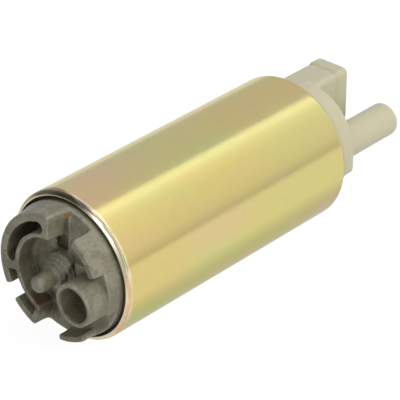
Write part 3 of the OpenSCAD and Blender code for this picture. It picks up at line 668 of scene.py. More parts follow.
@dataclass(frozen=True)
class CastGrey(WornShadedSkin):
    """The matt grey casting, with rust marks where steel has stood against it, painted shade in its recesses,
    a painted shadow in the gap round it and bright specks on its edges that are nicks and painted glints.
    """

    stains_and_shade: tuple[StainAndShade, ...] = ()
    ragged_scale: float = 700.0
    gap_r: float = 0.017
    gap_r_blend: float = 0.0001
    gap_from: float = -0.0392
    gap_from_blend: float = 0.0005
    gap_shadow_colour: Colour = (0.008, 0.007, 0.006)
    nick_glint_colour: Colour = (0.72, 0.7, 0.62)
    nick_glint_edge: float = 0.05
    nick_glint_scale: float = 1500.0
    nick_glint_share: Pair = (0.64, 0.68)

    def stain_and_shade(self, graph: Surface, colour: Socket) -> Socket:
        """Builds the rust and grime marks, the painted shade, the bright specks of the edges, which are nicks
        and painted glints, and the painted shadow in the gap.

        Args:
            graph: The material's graph.
            colour: The casting's own colour.

        Returns:
            The marked colour's socket.
        """
        ragged = graph.noise(graph.place, self.ragged_scale, 3.0, 0.6)
        for stain_and_shade in self.stains_and_shade:
            colour = graph.blend(stain_and_shade.mask(graph, ragged), colour, rgba(stain_and_shade.colour))
        # Bright specks on the edges: nicks, and painted glints.
        edge = graph.node("ShaderNodeAttribute", attribute_name="edge").outputs["Fac"]
        nick_glints = graph.times(graph.remap(edge, self.nick_glint_edge, self.nick_glint_edge * 1.6),
                             graph.remap(graph.noise(graph.place, self.nick_glint_scale, 2.0), *self.nick_glint_share))
        colour = graph.blend(nick_glints, colour, rgba(self.nick_glint_colour))
        # Painted shadow: the gap round the boss, inside the barrel's lip, is painted very dark.
        parts = graph.parts(graph.place)
        radial = graph.vector("LENGTH", graph.point(0.0, parts[1], parts[2]))["Value"]
        outer = graph.remap(radial, self.gap_r - self.gap_r_blend, self.gap_r + self.gap_r_blend)
        sunk = graph.remap(parts[0], self.gap_from, self.gap_from + self.gap_from_blend)
        return graph.blend(graph.times(outer, sunk), colour, rgba(self.gap_shadow_colour))


@dataclass(frozen=True)
class Laminated(Finish):
    """A stack of stamped steel sheets, seen from the side."""

    sheet_t: float = 0.0005
    line: Range = (0.3, 0.48, 0.0, 0.8)

    def adjust(self, graph: Surface, shader: Node) -> None:
        """Adds the lines between the sheets.

        Args:
            graph: The material's graph.
            shader: The Principled shader.
        """
        phase = graph.math("FRACT", graph.math("DIVIDE", graph.parts(graph.place)[0], self.sheet_t))
        line = graph.remap(graph.math("ABSOLUTE", graph.minus(phase, 0.5)), *self.line)
        colour = shader.inputs["Base Color"].links[0].from_socket
        lined = graph.blend(line, colour, rgba(self.patch_colour), "MULTIPLY")
        graph.feed(shader.inputs["Base Color"], lined)


def chromate_tints(sizes: PumpSizes) -> tuple[tuple[Point, float, Colour], ...]:
    """Lists the broad tints of the barrel's film.

    Args:
        sizes: The pump's driving sizes.

    Returns:
        The place, the reach in metres and the colour of each.
    """
    olive, lime = (0.665, 0.63, 0.25), (0.6, 0.65, 0.24)
    amber, blush = (0.75, 0.59, 0.245), (0.77, 0.56, 0.31)
    tints = (
        ((2.0, 18.0, 28.0), 0.012, olive),
        ((10.0, 16.0, 48.0), 0.01, amber),
        ((2.0, 19.0, 8.0), 0.009, blush),
        ((-17.0, 7.0, 10.0), 0.013, amber),
        ((-18.5, -4.0, 24.0), 0.008, olive),
        ((-18.0, 4.0, 34.0), 0.007, blush),
        ((-17.5, -8.0, 6.0), 0.007, lime),
        ((-13.0, 13.0, 70.0), 0.015, olive),
        ((-18.6, 1.0, 60.0), 0.015, olive),
        ((-16.5, -9.0, 76.0), 0.008, blush),
    )
    return tuple((tuple(sizes.row(*place)), reach, colour) for place, reach, colour in tints)


def cover_stains_and_shade(sizes: PumpSizes) -> tuple[StainAndShade, ...]:
    """Lists the rust and grime marks of the casting and its painted shade, the painted shadow line along its
    crack last.

    Args:
        sizes: The pump's driving sizes.

    Returns:
        The marks, in the order in which they cover each other.
    """
    rust, brown, shade_black = (0.25, 0.1, 0.035), (0.085, 0.06, 0.03), (0.02, 0.016, 0.011)
    # Rust and brown marks are the casting's own; the very dark marks on the floor of the recesses are painted
    # shade.
    stains_and_shade = (
        ((-1.7, 15.4, -2.0), 0.0014, (0.27, 0.16, 0.055), 0.8), ((-2.4, 15.0, -2.4), 0.0006, rust, 0.85),
        ((5.5, -8.9, -4.8), 0.0036, (0.12, 0.066, 0.025), 0.95),
        ((4.6, -10.6, -5.4), 0.0022, (0.1, 0.065, 0.03), 0.85), ((8.6, -10.6, -2.0), 0.0036, brown, 0.7),
        ((3.8, -11.2, -1.5), 0.004, brown, 0.7), ((12.6, -1.0, -4.0), 0.005, brown, 0.7),
        ((11.4, 6.5, -3.0), 0.005, brown, 0.6), ((9.6, 1.0, -4.5), 0.003, brown, 0.5),
        ((-4.7, 3.0, -1.8), 0.0018, shade_black, 0.9), ((-5.4, 0.4, -1.8), 0.0022, shade_black, 0.9),
        ((-4.6, -3.0, -1.8), 0.0024, shade_black, 0.9), ((-11.6, 3.2, -1.5), 0.0022, shade_black, 0.7),
        ((1.4, 7.3, -1.3), 0.0024, shade_black, 0.7), ((-4.5, -8.0, -1.4), 0.003, (0.1, 0.085, 0.05), 0.5),
        ((9.9, -4.4, -1.5), 0.003, shade_black, 0.6), ((-16.6, -1.5, -1.5), 0.006, (0.15, 0.135, 0.095), 0.6),
        ((11.5, -3.0, -6.4), 0.006, (0.13, 0.115, 0.075), 0.6), ((2.0, 5.4, -2.0), 0.0014, shade_black, 0.5),
        ((4.8, -9.5, -1.5), 0.0022, shade_black, 0.7), ((4.5, -11.3, -1.5), 0.0018, shade_black, 0.7),
        ((-8.4, -4.4, -7.5), 0.003, (0.13, 0.09, 0.04), 0.6),
        ((-7.0, 0.0, -7.5), 0.0022, (0.14, 0.1, 0.05), 0.5),
    )
    # Painted shadow: a very dark line along the crack beside the post's root.
    crack = (
        (-4.03, 2.96, -3.05), (-3.8, 2.1, -3.4), (-3.77, 1.5, -4.1), (-3.5, 0.7, -4.5), (-3.2, -0.1, -4.8),
        (-2.7, -1.1, -5.0),
    )
    marks = (*stains_and_shade, *((place, 0.0008, shade_black, 0.85) for place in crack))
    return tuple(StainAndShade(sizes.row(*place), reach, colour, amount) for place, reach, colour, amount in marks)


def pump_finishes(sizes: PumpSizes) -> list[Finish]:
    """Lists every finish, under the names of the record's material slots.

    Args:
        sizes: The pump's driving sizes.

    Returns:
        The finishes.
    """
    steel_streaks = (0.15, 1.0, 1.0)
    return [
        ZincChromate("zinc_steel", (0.72, 0.61, 0.22), (0.6, 0.52, 0.25), 1.0, 0.17, 0.03,
                     patch_scale=500.0, patch_cover=0.35, patch_amount=0.25, grain_scale=900.0,
                     grain_stretch=(0.25, 1.0, 1.0), ripple=0.5, relief=0.05, tints=chromate_tints(sizes),
                     marks=RimMarks(sizes.barrel_len / 2 * MM)),
        CastGrey("cast_cover", (0.24, 0.225, 0.155), (0.142, 0.124, 0.072), 0.15, 0.5, 0.1,
                 patch_scale=300.0, patch_cover=0.46, patch_amount=0.6, grain_scale=1300.0, relief=0.7,
                 relief_depth=0.00008, mottle=0.2, bare_colour=(0.42, 0.4, 0.32), bare=0.5, edge_start=0.015,
                 edge_end=0.09, hollow_start=0.52, hollow_end=0.76, breakup_scale=420.0, grime_shade=0.9,
                 stains_and_shade=cover_stains_and_shade(sizes)),
        WornShadedSkin("beige_plastic", (0.495, 0.463, 0.307), (0.463, 0.432, 0.278), 0.0, 0.42, 0.05,
                 patch_scale=60.0, patch_amount=0.3, grain_scale=2200.0, relief=0.05, mottle=0.015,
                 bare_colour=(0.56, 0.53, 0.365), grime_shade_colour=(0.27, 0.24, 0.14), bare=0.5, grime_shade=0.5,
                 edge_start=0.01, edge_end=0.07, hollow_start=0.55),
        Finish("sintered_steel", (0.3, 0.29, 0.28), (0.22, 0.21, 0.2), 0.9, 0.5, relief=0.4),
        Finish("impeller_resin", (0.09, 0.045, 0.02), (0.06, 0.03, 0.015), 0.0, 0.4, relief=0.2),
        Finish("bronze", (0.52, 0.32, 0.14), (0.38, 0.22, 0.09), 1.0, 0.38, relief=0.3),
        Finish("bright_steel", (0.62, 0.61, 0.59), (0.5, 0.49, 0.48), 1.0, 0.22, 0.06,
               grain_stretch=steel_streaks, relief=0.1),
        Laminated("lamination", (0.3, 0.3, 0.31), (0.14, 0.13, 0.13), 0.9, 0.42, patch_amount=0.2,
                  relief=0.3),
        Finish("copper", (0.66, 0.26, 0.11), (0.52, 0.18, 0.07), 1.0, 0.3, 0.05, patch_amount=0.3,
               relief=0.02),
        Finish("insulation", (0.55, 0.6, 0.48), (0.48, 0.52, 0.4), 0.0, 0.55),
        Finish("phenolic", (0.1, 0.03, 0.018), (0.07, 0.02, 0.012), 0.0, 0.4, relief=0.2),
        Finish("ferrite", (0.045, 0.045, 0.048), (0.03, 0.03, 0.032), 0.15, 0.6, relief=0.5),
        Finish("spring_steel", (0.5, 0.5, 0.5), (0.42, 0.41, 0.39), 1.0, 0.26, 0.04, patch_amount=0.25,
               relief=0.02),
        Finish("holder_plastic", (0.6, 0.57, 0.46), (0.54, 0.51, 0.4), 0.0, 0.45),
        Finish("carbon", (0.035, 0.033, 0.032), (0.055, 0.05, 0.045), 0.2, 0.55, grain_scale=2600.0,
               relief=0.4),
        Finish("contact_brass", (0.78, 0.6, 0.24), (0.7, 0.52, 0.2), 1.0, 0.25, 0.06, patch_amount=0.25,
               grain_stretch=steel_streaks, relief=0.05),
        Finish("seal_rubber", (0.018, 0.018, 0.019), (0.028, 0.028, 0.028), 0.0, 0.6),
        Finish("valve_plastic", (0.7, 0.69, 0.64), (0.63, 0.62, 0.56), 0.0, 0.4),
    ]


# Making pieces


def into_scene(name: str, data: bpy.types.ID) -> bpy.types.Object:
    """Makes an object and links it to the scene.

    Args:
        name: The object's name.
        data: What it shows.

    Returns:
        The object.
    """
    made = bpy.data.objects.new(name, data)
    bpy.context.scene.collection.objects.link(made)
    return made


@dataclass
class Workshop:
    """What every sub-assembly works with: the sizes, and the finishes by name."""

    sizes: PumpSizes
    shelf: dict[str, Material]

    def piece(self, name: str, mesh: Mesh, finish: str, body: str, *stands_for: str) -> bpy.types.Object:
        """Puts a finished mesh into the scene.

        Args:
            name: The piece's name.
            mesh: Its mesh, in the row frame, in metres.
            finish: The finish's name, which is also the record's material slot.
            body: The body that it rides on.
            stands_for: The CAD nodes that it replaces.

        Returns:
            The piece's object.
        """
        mesh.materials.clear()
        mesh.materials.append(self.shelf[finish])
        made = into_scene(name, mesh)
        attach(made, body)
        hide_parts(*stands_for)
        log.info("%s: %d faces, rides on %s", name, len(mesh.polygons), body)
        return made

    def dress(self, finish: str, *nodes: str) -> None:
        """Gives CAD nodes that keep their own mesh a finish.

        Args:
            finish: The finish's name.
            nodes: The names of the nodes.
        """
        for node in nodes:
            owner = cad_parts[node]
            for place in owner.material_slots:
                place.material = self.shelf[finish]
            if not owner.material_slots:
                owner.data.materials.append(self.shelf[finish])
            log.info("%s keeps its CAD mesh, in %s", node, finish)

    def place(self, mesh: Mesh, across: float = 0.0, up: float = 0.0, along: float = 0.0,
              axis: Vector = Vector((1, 0, 0))) -> Mesh:
        """Moves a mesh from its local Z axis, in millimetres, to its place in the row frame.

        Args:
            mesh: The mesh.
            across, up, along: The place of its origin.
            axis: Where its local Z axis points, in the row frame.

        Returns:
            The same mesh.
        """
        turn = axis.to_track_quat("Z", "Y").to_matrix().to_4x4()
        mesh.transform(Matrix.Translation(self.sizes.row(across, up, along)) @ turn @ Matrix.Scale(MM, 4))
        return mesh

    def mesh(self, name: str, points: Array, faces: Array) -> Mesh:
        """Makes a mesh from points given as across, up and along, in millimetres.

        Args:
            name: The mesh's name.
            points: One row for each point.
            faces: The corners of each face, counted anticlockwise from outside.

        Returns:
            The mesh, shaded smoothly, in the row frame, in metres.
        """
        placed = np.column_stack((points[:, 2] - self.sizes.barrel_len / 2, points[:, 0], points[:, 1])) * MM
        made = bpy.data.meshes.new(name)
        made.from_pydata(placed.tolist(), [], faces.tolist())
        made.validate()
        made.shade_smooth()
        return made


# Cast and moulded skins


class FieldGrid:
    """A regular grid round one piece, in millimetres, on which its solid is a signed distance.

    The distance is below zero inside the solid. Places are across, up and along the pump.
    """

    def __init__(self, radius: float, start: float, end: float, step: float) -> None:
        """Lays the grid out, with three steps to spare on every side.

        Args:
            radius: How far the piece reaches from the pump's axis.
            start, end: Its first and last place along the pump.
            step: The distance between the grid's points.
        """
        reach, spare = radius + 3 * step, 3 * step
        low, high = (-reach, -reach, start - spare), (reach, reach, end + spare)
        self.low = np.array(low)
        self.step = step
        axes = [np.arange(a, b + step, step, dtype=np.float32) for a, b in zip(low, high)]
        self.shape = tuple(len(a) for a in axes)
        self.across, self.up, self.along = np.meshgrid(*axes, indexing="ij", sparse=True)

    def capped(self, flat: Array, start: float, end: float, rounding: float = 0.0) -> Array:
        """Stretches a flat shape along the axis.

        Args:
            flat: The shape's distance in each slice.
            start, end: Where it starts and ends.
            rounding: The radius of its end edges.

        Returns:
            The solid's distance.
        """
        side = flat + rounding
        level = np.maximum(start - self.along, self.along - end) + rounding
        outside = np.hypot(np.maximum(side, 0), np.maximum(level, 0))
        return outside + np.minimum(np.maximum(side, level), 0) - rounding

    def rod(self, radius: float, start: float, end: float, at: Pair = (0.0, 0.0),
            rounding: float = 0.0) -> Array:
        """Gives a rod along the axis, at a place across it."""
        return self.capped(np.hypot(self.across - at[0], self.up - at[1]) - radius, start, end, rounding)

    def funnel(self, near_r: float, far_r: float, start: float, end: float, at: Pair) -> Array:
        """Gives a rod whose radius changes along it.

        Args:
            near_r: Its radius where it starts.
            far_r: Its radius where it ends.
            start, end: Where it starts and ends.
            at: Its place across the pump.

        Returns:
            The rod's distance.
        """
        share = np.clip((self.along - start) / (end - start), 0, 1)
        radius = near_r + (far_r - near_r) * share
        slope = math.cos(math.atan2(abs(far_r - near_r), end - start))
        return self.capped((np.hypot(self.across - at[0], self.up - at[1]) - radius) * slope, start, end)

    def column(self, middle: Pair, size: Pair, corner: float, start: float,
               end: float, rounding: float = 0.0) -> Array:
        """Gives a bar along the axis, with a rectangular section.

        Args:
            middle: Its place across the pump.
            size: The width and the height of its section.
            corner: The radius of the section's corners.
            start, end: Where it starts and ends.
            rounding: The radius of its end edges.

        Returns:
            The bar's distance.
        """
        wide = np.abs(self.across - middle[0]) - size[0] / 2 + corner
        tall = np.abs(self.up - middle[1]) - size[1] / 2 + corner
        flat = np.hypot(np.maximum(wide, 0), np.maximum(tall, 0)) + np.minimum(np.maximum(wide, tall), 0)
        return self.capped(flat - corner, start, end, rounding)

    def wedge(self, turn_from: float, turn_to: float | Array) -> Array:
        """Gives the slice of space between two angles.

        Args:
            turn_from: The first angle, in degrees.
            turn_to: The last angle, one for all or one for each grid point.

        Returns:
            The slice's distance.
        """
        middle, half = np.radians((turn_from + turn_to) / 2), np.radians((turn_to - turn_from) / 2)
        ahead = self.across * np.cos(middle) + self.up * np.sin(middle)
        aside = self.up * np.cos(middle) - self.across * np.sin(middle)
        return np.abs(aside) * np.cos(half) - ahead * np.sin(half)

    def sector(self, inner: float, front: float, back: float, turn: tuple[float, float | Array],
               start: float, end: float, rounding: float = 0.0) -> Array:
        """Gives a curved wall.

        Args:
            inner: Its inner radius.
            front: Its outer radius where it starts.
            back: Its outer radius where it ends.
            turn: Its first and last angle, in degrees.
            start, end: Where it starts and ends.
            rounding: The radius of its edges.

        Returns:
            The wall's distance.
        """
        radial = np.hypot(self.across, self.up)
        share = np.clip((self.along - start) / (end - start), 0, 1)
        outer = front + (back - front) * share
        sides = np.maximum(inner - radial, radial - outer) + rounding
        wedge = self.wedge(*turn) + rounding
        flat = np.hypot(np.maximum(sides, 0), np.maximum(wedge, 0)) + np.minimum(np.maximum(sides, wedge), 0)
        return self.capped(flat - rounding, start, end, rounding)

    def slot(self, inner: float, outer: float, turn: Pair, start: float, end: float) -> Array:
        """Gives a curved slot with round ends.

        Args:
            inner: Its inner radius.
            outer: Its outer radius.
            turn: Its first and last angle, in degrees, with the round ends.
            start, end: Where it starts and ends.

        Returns:
            The slot's distance.
        """
        middle, half = (inner + outer) / 2, (outer - inner) / 2
        reach = math.degrees(half / middle)
        first, last = turn[0] + reach, turn[1] - reach
        bend = np.abs(np.hypot(self.across, self.up) - middle)
        tips = [np.hypot(self.across - middle * math.cos(a), self.up - middle * math.sin(a))
                for a in (math.radians(first), math.radians(last))]
        flat = np.where(self.wedge(first, last) < 0, bend, np.minimum(*tips))
        return self.capped(flat - half, start, end)

    def unevenness(self, patch: float, height: float, seed: int) -> Array:
        """Gives a smooth random relief.

        Args:
            patch: The distance between its bumps.
            height: Their rough height.
            seed: The seed of the random draw.

        Returns:
            The relief at each grid point.
        """
        coarse = [max(3, int(n * self.step / patch) + 2) for n in self.shape]
        relief = np.random.default_rng(seed).normal(0, height, coarse).astype(np.float32)
        for axis, (count, few) in enumerate(zip(self.shape, coarse)):
            place = np.linspace(0, few - 1.001, count)
            low = place.astype(int)
            share = place - low
            share = (share * share * (3 - 2 * share)).astype(np.float32)
            share = share.reshape([-1 if a == axis else 1 for a in range(3)])
            relief = np.take(relief, low, axis) * (1 - share) + np.take(relief, low + 1, axis) * share
        return relief


def joined(first: Array, second: Array, fillet: float = 0.0) -> Array:
    """Joins two solids, with a fillet where they meet."""
    near = np.maximum(fillet - np.abs(first - second), 0) / (fillet or 1.0)
    return np.minimum(first, second) - near * near * fillet / 4


def cut_from(solid: Array, tool: Array) -> Array:
    """Takes one solid out of another."""
    return np.maximum(solid, -tool)


def softened(value: Array, width: float) -> Array:
    """Averages a field over its neighbours, which rounds the edges of its solid.

    Args:
        value: The field.
        width: The spread of the average, in grid steps.

    Returns:
        The softer field.
    """
    reach = max(1, int(math.ceil(2.5 * width)))
    offsets = np.arange(-reach, reach + 1)
    weights = np.exp(-0.5 * (offsets / width) ** 2)
    weights = (weights / weights.sum()).astype(np.float32)
    for axis in range(3):
        widths = [(reach, reach) if a == axis else (0, 0) for a in range(3)]
        padded = np.pad(value, widths, mode="edge")
        total = np.zeros_like(value)
        for weight, offset in zip(weights, range(2 * reach + 1)):
            part = [slice(offset, offset + value.shape[axis]) if a == axis else slice(None) for a in range(3)]
            total += weight * padded[tuple(part)]
        value = total
    return value


def net_over(value: Array) -> tuple[Array, Array]:
    """Lays a net of four-sided faces over the surface of a field's solid.

    Args:
        value: The field, below zero inside.

    Returns:
        The net's points, in grid steps, and its faces.
    """
    inside = value < 0
    cell_shape = tuple(n - 1 for n in value.shape)
    corners = list(itertools.product((0, 1), repeat=3))
    total = np.zeros(cell_shape, np.int8)
    for corner in corners:
        total += inside[tuple(slice(c, c + n) for c, n in zip(corner, cell_shape))]
    crossed = (total > 0) & (total < 8)
    cells = np.argwhere(crossed)
    number = np.full(cell_shape, -1, np.int64)
    number[crossed] = np.arange(len(cells))
    place = np.zeros((len(cells), 3))
    hits = np.zeros(len(cells))
    faces = []
    for axis in range(3):
        step, u, v = (np.eye(3, dtype=int)[(axis + turn) % 3] for turn in range(3))
        for corner in corners:
            if corner[axis]:
                continue
            start = cells + corner
            near, far = value[tuple(start.T)], value[tuple((start + step).T)]
            hit = (near < 0) != (far < 0)
            share = near[hit] / (near[hit] - far[hit])
            place[hit] += start[hit] + share[:, None] * step
            hits[hit] += 1
        first = np.take(inside, range(value.shape[axis] - 1), axis)
        second = np.take(inside, range(1, value.shape[axis]), axis)
        edges = np.argwhere(first != second)
        edges = edges[np.all((edges - u - v >= 0) & (edges < cell_shape), axis=1)]
        quads = np.column_stack([number[tuple((edges - shift).T)] for shift in (u + v, v, 0 * u, u)])
        inward = ~first[tuple(edges.T)]
        quads[inward] = quads[inward][:, ::-1]
        faces.append(quads)
    return place / hits[:, None], np.concatenate(faces)


@dataclass
class Skin:
    """Turns a field into the mesh of one cast or moulded piece, with its edge and hollow attributes."""

    grid: FieldGrid
    sharp: Array
    rounding: float = 1.0
    hollow_reach: float = 7.0

    def mesh(self, shop: Workshop, name: str) -> Mesh:
        """Builds the mesh.

        Args:
            shop: The workshop.
            name: The mesh's name.

        Returns:
            The mesh. Its edge attribute is above zero on worn edges, and hollow above a half in hollows.
        """
        soft = softened(self.sharp, self.rounding)
        crowd = softened((soft < 0).astype(np.float32), self.hollow_reach)
        steps, faces = net_over(soft)
        points = self.grid.low + steps * self.grid.step
        made = shop.mesh(name, points, faces)
        for title, values in (("edge", soft - self.sharp), ("hollow", crowd)):
            kept = made.attributes.new(title, "FLOAT", "POINT").data
            kept.foreach_set("value", self.sample(values, steps).astype(np.float32))
        return made

    @staticmethod
    def sample(value: Array, steps: Array) -> Array:
        """Reads a field between its grid points.

        Args:
            value: The field.
            steps: The places to read, in grid steps.

        Returns:
            The value at each place.
        """
        low = np.minimum(steps.astype(int), np.array(value.shape) - 2)
        share = steps - low
        total = np.zeros(len(steps))
        for corner in itertools.product((0, 1), repeat=3):
            weight = np.prod(np.where(corner, share, 1 - share), axis=1)
            total += weight * value[tuple((low + corner).T)]
        return total


# Geometry Nodes trees, in millimetres along a local Z axis


class PathTree:
    """A tree that sweeps wire along paths. Each kind builds its own paths."""

    name = "path"
    inputs: dict[str, object] = {}

    def __init__(self) -> None:
        """Builds the tree."""
        inputs = {**self.inputs, "Finish": "NodeSocketMaterial"}
        outputs = {"Geometry": "NodeSocketGeometry"}
        graph, entry, leave = new_group(self.name, "GeometryNodeTree", inputs, outputs)
        self.graph, self.sizes, self.tree = graph, entry, graph.tree
        self.tree.is_modifier = True
        smooth = graph.first("GeometryNodeSetShadeSmooth", {"Geometry": self.sweep()})
        real = graph.first("GeometryNodeRealizeInstances", {"Geometry": smooth})
        dressed = graph.first("GeometryNodeSetMaterial", {"Geometry": real, "Material": entry["Finish"]})
        graph.feed(leave.inputs["Geometry"], dressed)

    def sweep(self) -> Socket:
        """Builds the paths and sweeps them. Each kind of tree has its own."""
        raise NotImplementedError

    def wire(self, path: Socket, radius: Input, sides: Input) -> Socket:
        """Sweeps a round wire along a path.

        Args:
            path: The path.
            radius: The wire's radius.
            sides: How many sides it has.

        Returns:
            The wire's geometry.
        """
        graph = self.graph
        ring = graph.first("GeometryNodeCurvePrimitiveCircle", {"Resolution": sides, "Radius": radius})
        inputs = {"Curve": path, "Profile Curve": ring, "Fill Caps": True}
        return graph.first("GeometryNodeCurveToMesh", inputs)

    def grow(self, finish: Material, values: dict[str, float | int], start: Mesh | None = None) -> Mesh:
        """Runs the tree once and keeps the result as a plain mesh.

        Args:
            finish: The material.
            values: The named inputs that differ from the tree's own values.
            start: The geometry that the tree works on, where it takes one.

        Returns:
            The mesh, in millimetres, along its local Z axis.
        """
        holder = into_scene(self.name, start or bpy.data.meshes.new(self.name))
        modifier = holder.modifiers.new(self.name, "NODES")
        modifier.node_group = self.tree
        for item in self.tree.interface.items_tree:
            value = {**values, "Finish": finish}.get(item.name)
            if item.in_out == "INPUT" and value is not None:
                modifier[item.identifier] = value
        graph = bpy.context.evaluated_depsgraph_get()
        made = bpy.data.meshes.new_from_object(holder.evaluated_get(graph), depsgraph=graph)
        holder.modifiers.clear()
        bpy.data.objects.remove(holder)
        return made


class TurnedTree(PathTree):
    """An outline turned round the axis."""

    name = "turned_outline"
    inputs = {"Outline": "NodeSocketGeometry", "Segments": 256, "Path Radius": 10.0}
    sharp_angle = 40.0

    def sweep(self) -> Socket:
        """Carries the outline round a circle.

        Returns:
            The turned geometry.
        """
        graph, sizes = self.graph, self.sizes
        outline = graph.first("GeometryNodeMeshToCurve", {"Mesh": sizes["Outline"]})
        inputs = {"Resolution": sizes["Segments"], "Radius": sizes["Path Radius"]}
        circle = graph.first("GeometryNodeCurvePrimitiveCircle", inputs)
        upright = graph.first("GeometryNodeSetCurveNormal", {"Curve": circle}, mode="Z_UP")
        return graph.first("GeometryNodeCurveToMesh", {"Curve": upright, "Profile Curve": outline})

    def turned(self, finish: Material, outline: list[Pair]) -> Mesh:
        """Turns a closed outline.

        Args:
            finish: The material.
            outline: Points as place along the axis and radius.

        Returns:
            The mesh, in millimetres.
        """
        path_r = self.inputs["Path Radius"]
        flat = bpy.data.meshes.new("outline")
        count = len(outline)
        flat.from_pydata([(radius - path_r, -along, 0.0) for along, radius in outline],
                         [(i, (i + 1) % count) for i in range(count)], [])
        made = self.grow(finish, {}, flat)
        made.set_sharp_from_angle(angle=math.radians(self.sharp_angle))
        return made


class CoilTree(PathTree):
    """Wire coiled round an axis: springs with closed ends, chokes and twisted strands."""

    name = "wire_coil"
    inputs = {"Radius": 2.0, "Wire Radius": 0.2, "Length": 8.0, "Turns": 6.0, "Closed Turns": 1.0,
              "Strands": 1, "Steps": 24, "Sides": 10}
    touching_pitch = 2.04

    def sweep(self) -> Socket:
        """Builds the coil. Its turns touch at both ends and spread evenly between them.

        Returns:
            The coil's geometry.
        """
        graph, sizes = self.graph, self.sizes
        turns, closed, wire_r = sizes["Turns"], sizes["Closed Turns"], sizes["Wire Radius"]
        spiral = graph.first("GeometryNodeCurveSpiral", {
            "Resolution": sizes["Steps"], "Rotations": turns, "Start Radius": sizes["Radius"],
            "End Radius": sizes["Radius"], "Height": 1.0,
        })
        place = graph.first("GeometryNodeInputPosition")
        parts = graph.parts(place)
        turn = graph.times(parts[2], turns)
        last = graph.minus(turns, closed)
        touching = graph.times(wire_r, self.touching_pitch)
        first_part = graph.times(graph.math("MINIMUM", turn, closed), touching)
        last_part = graph.times(graph.math("MAXIMUM", graph.minus(turn, last), 0.0), touching)
        taken = graph.math("MULTIPLY_ADD", graph.times(closed, touching), 2.0, graph.times(wire_r, 2.0))
        open_part = graph.remap(turn, closed, last, 0.0, graph.minus(sizes["Length"], taken))
        height = graph.plus(graph.plus(first_part, last_part), graph.plus(open_part, wire_r))
        coiled = graph.moved(spiral, graph.point(parts[0], parts[1], height))
        copies = graph.node("GeometryNodeDuplicateElements", {"Geometry": coiled, "Amount": sizes["Strands"]},
                            domain="SPLINE").outputs
        step = graph.math("DIVIDE", 2 * math.pi, sizes["Strands"])
        angle = graph.times(copies["Duplicate Index"], step)
        strands = graph.moved(copies["Geometry"], graph.turned(place, angle))
        return self.wire(strands, wire_r, sizes["Sides"])


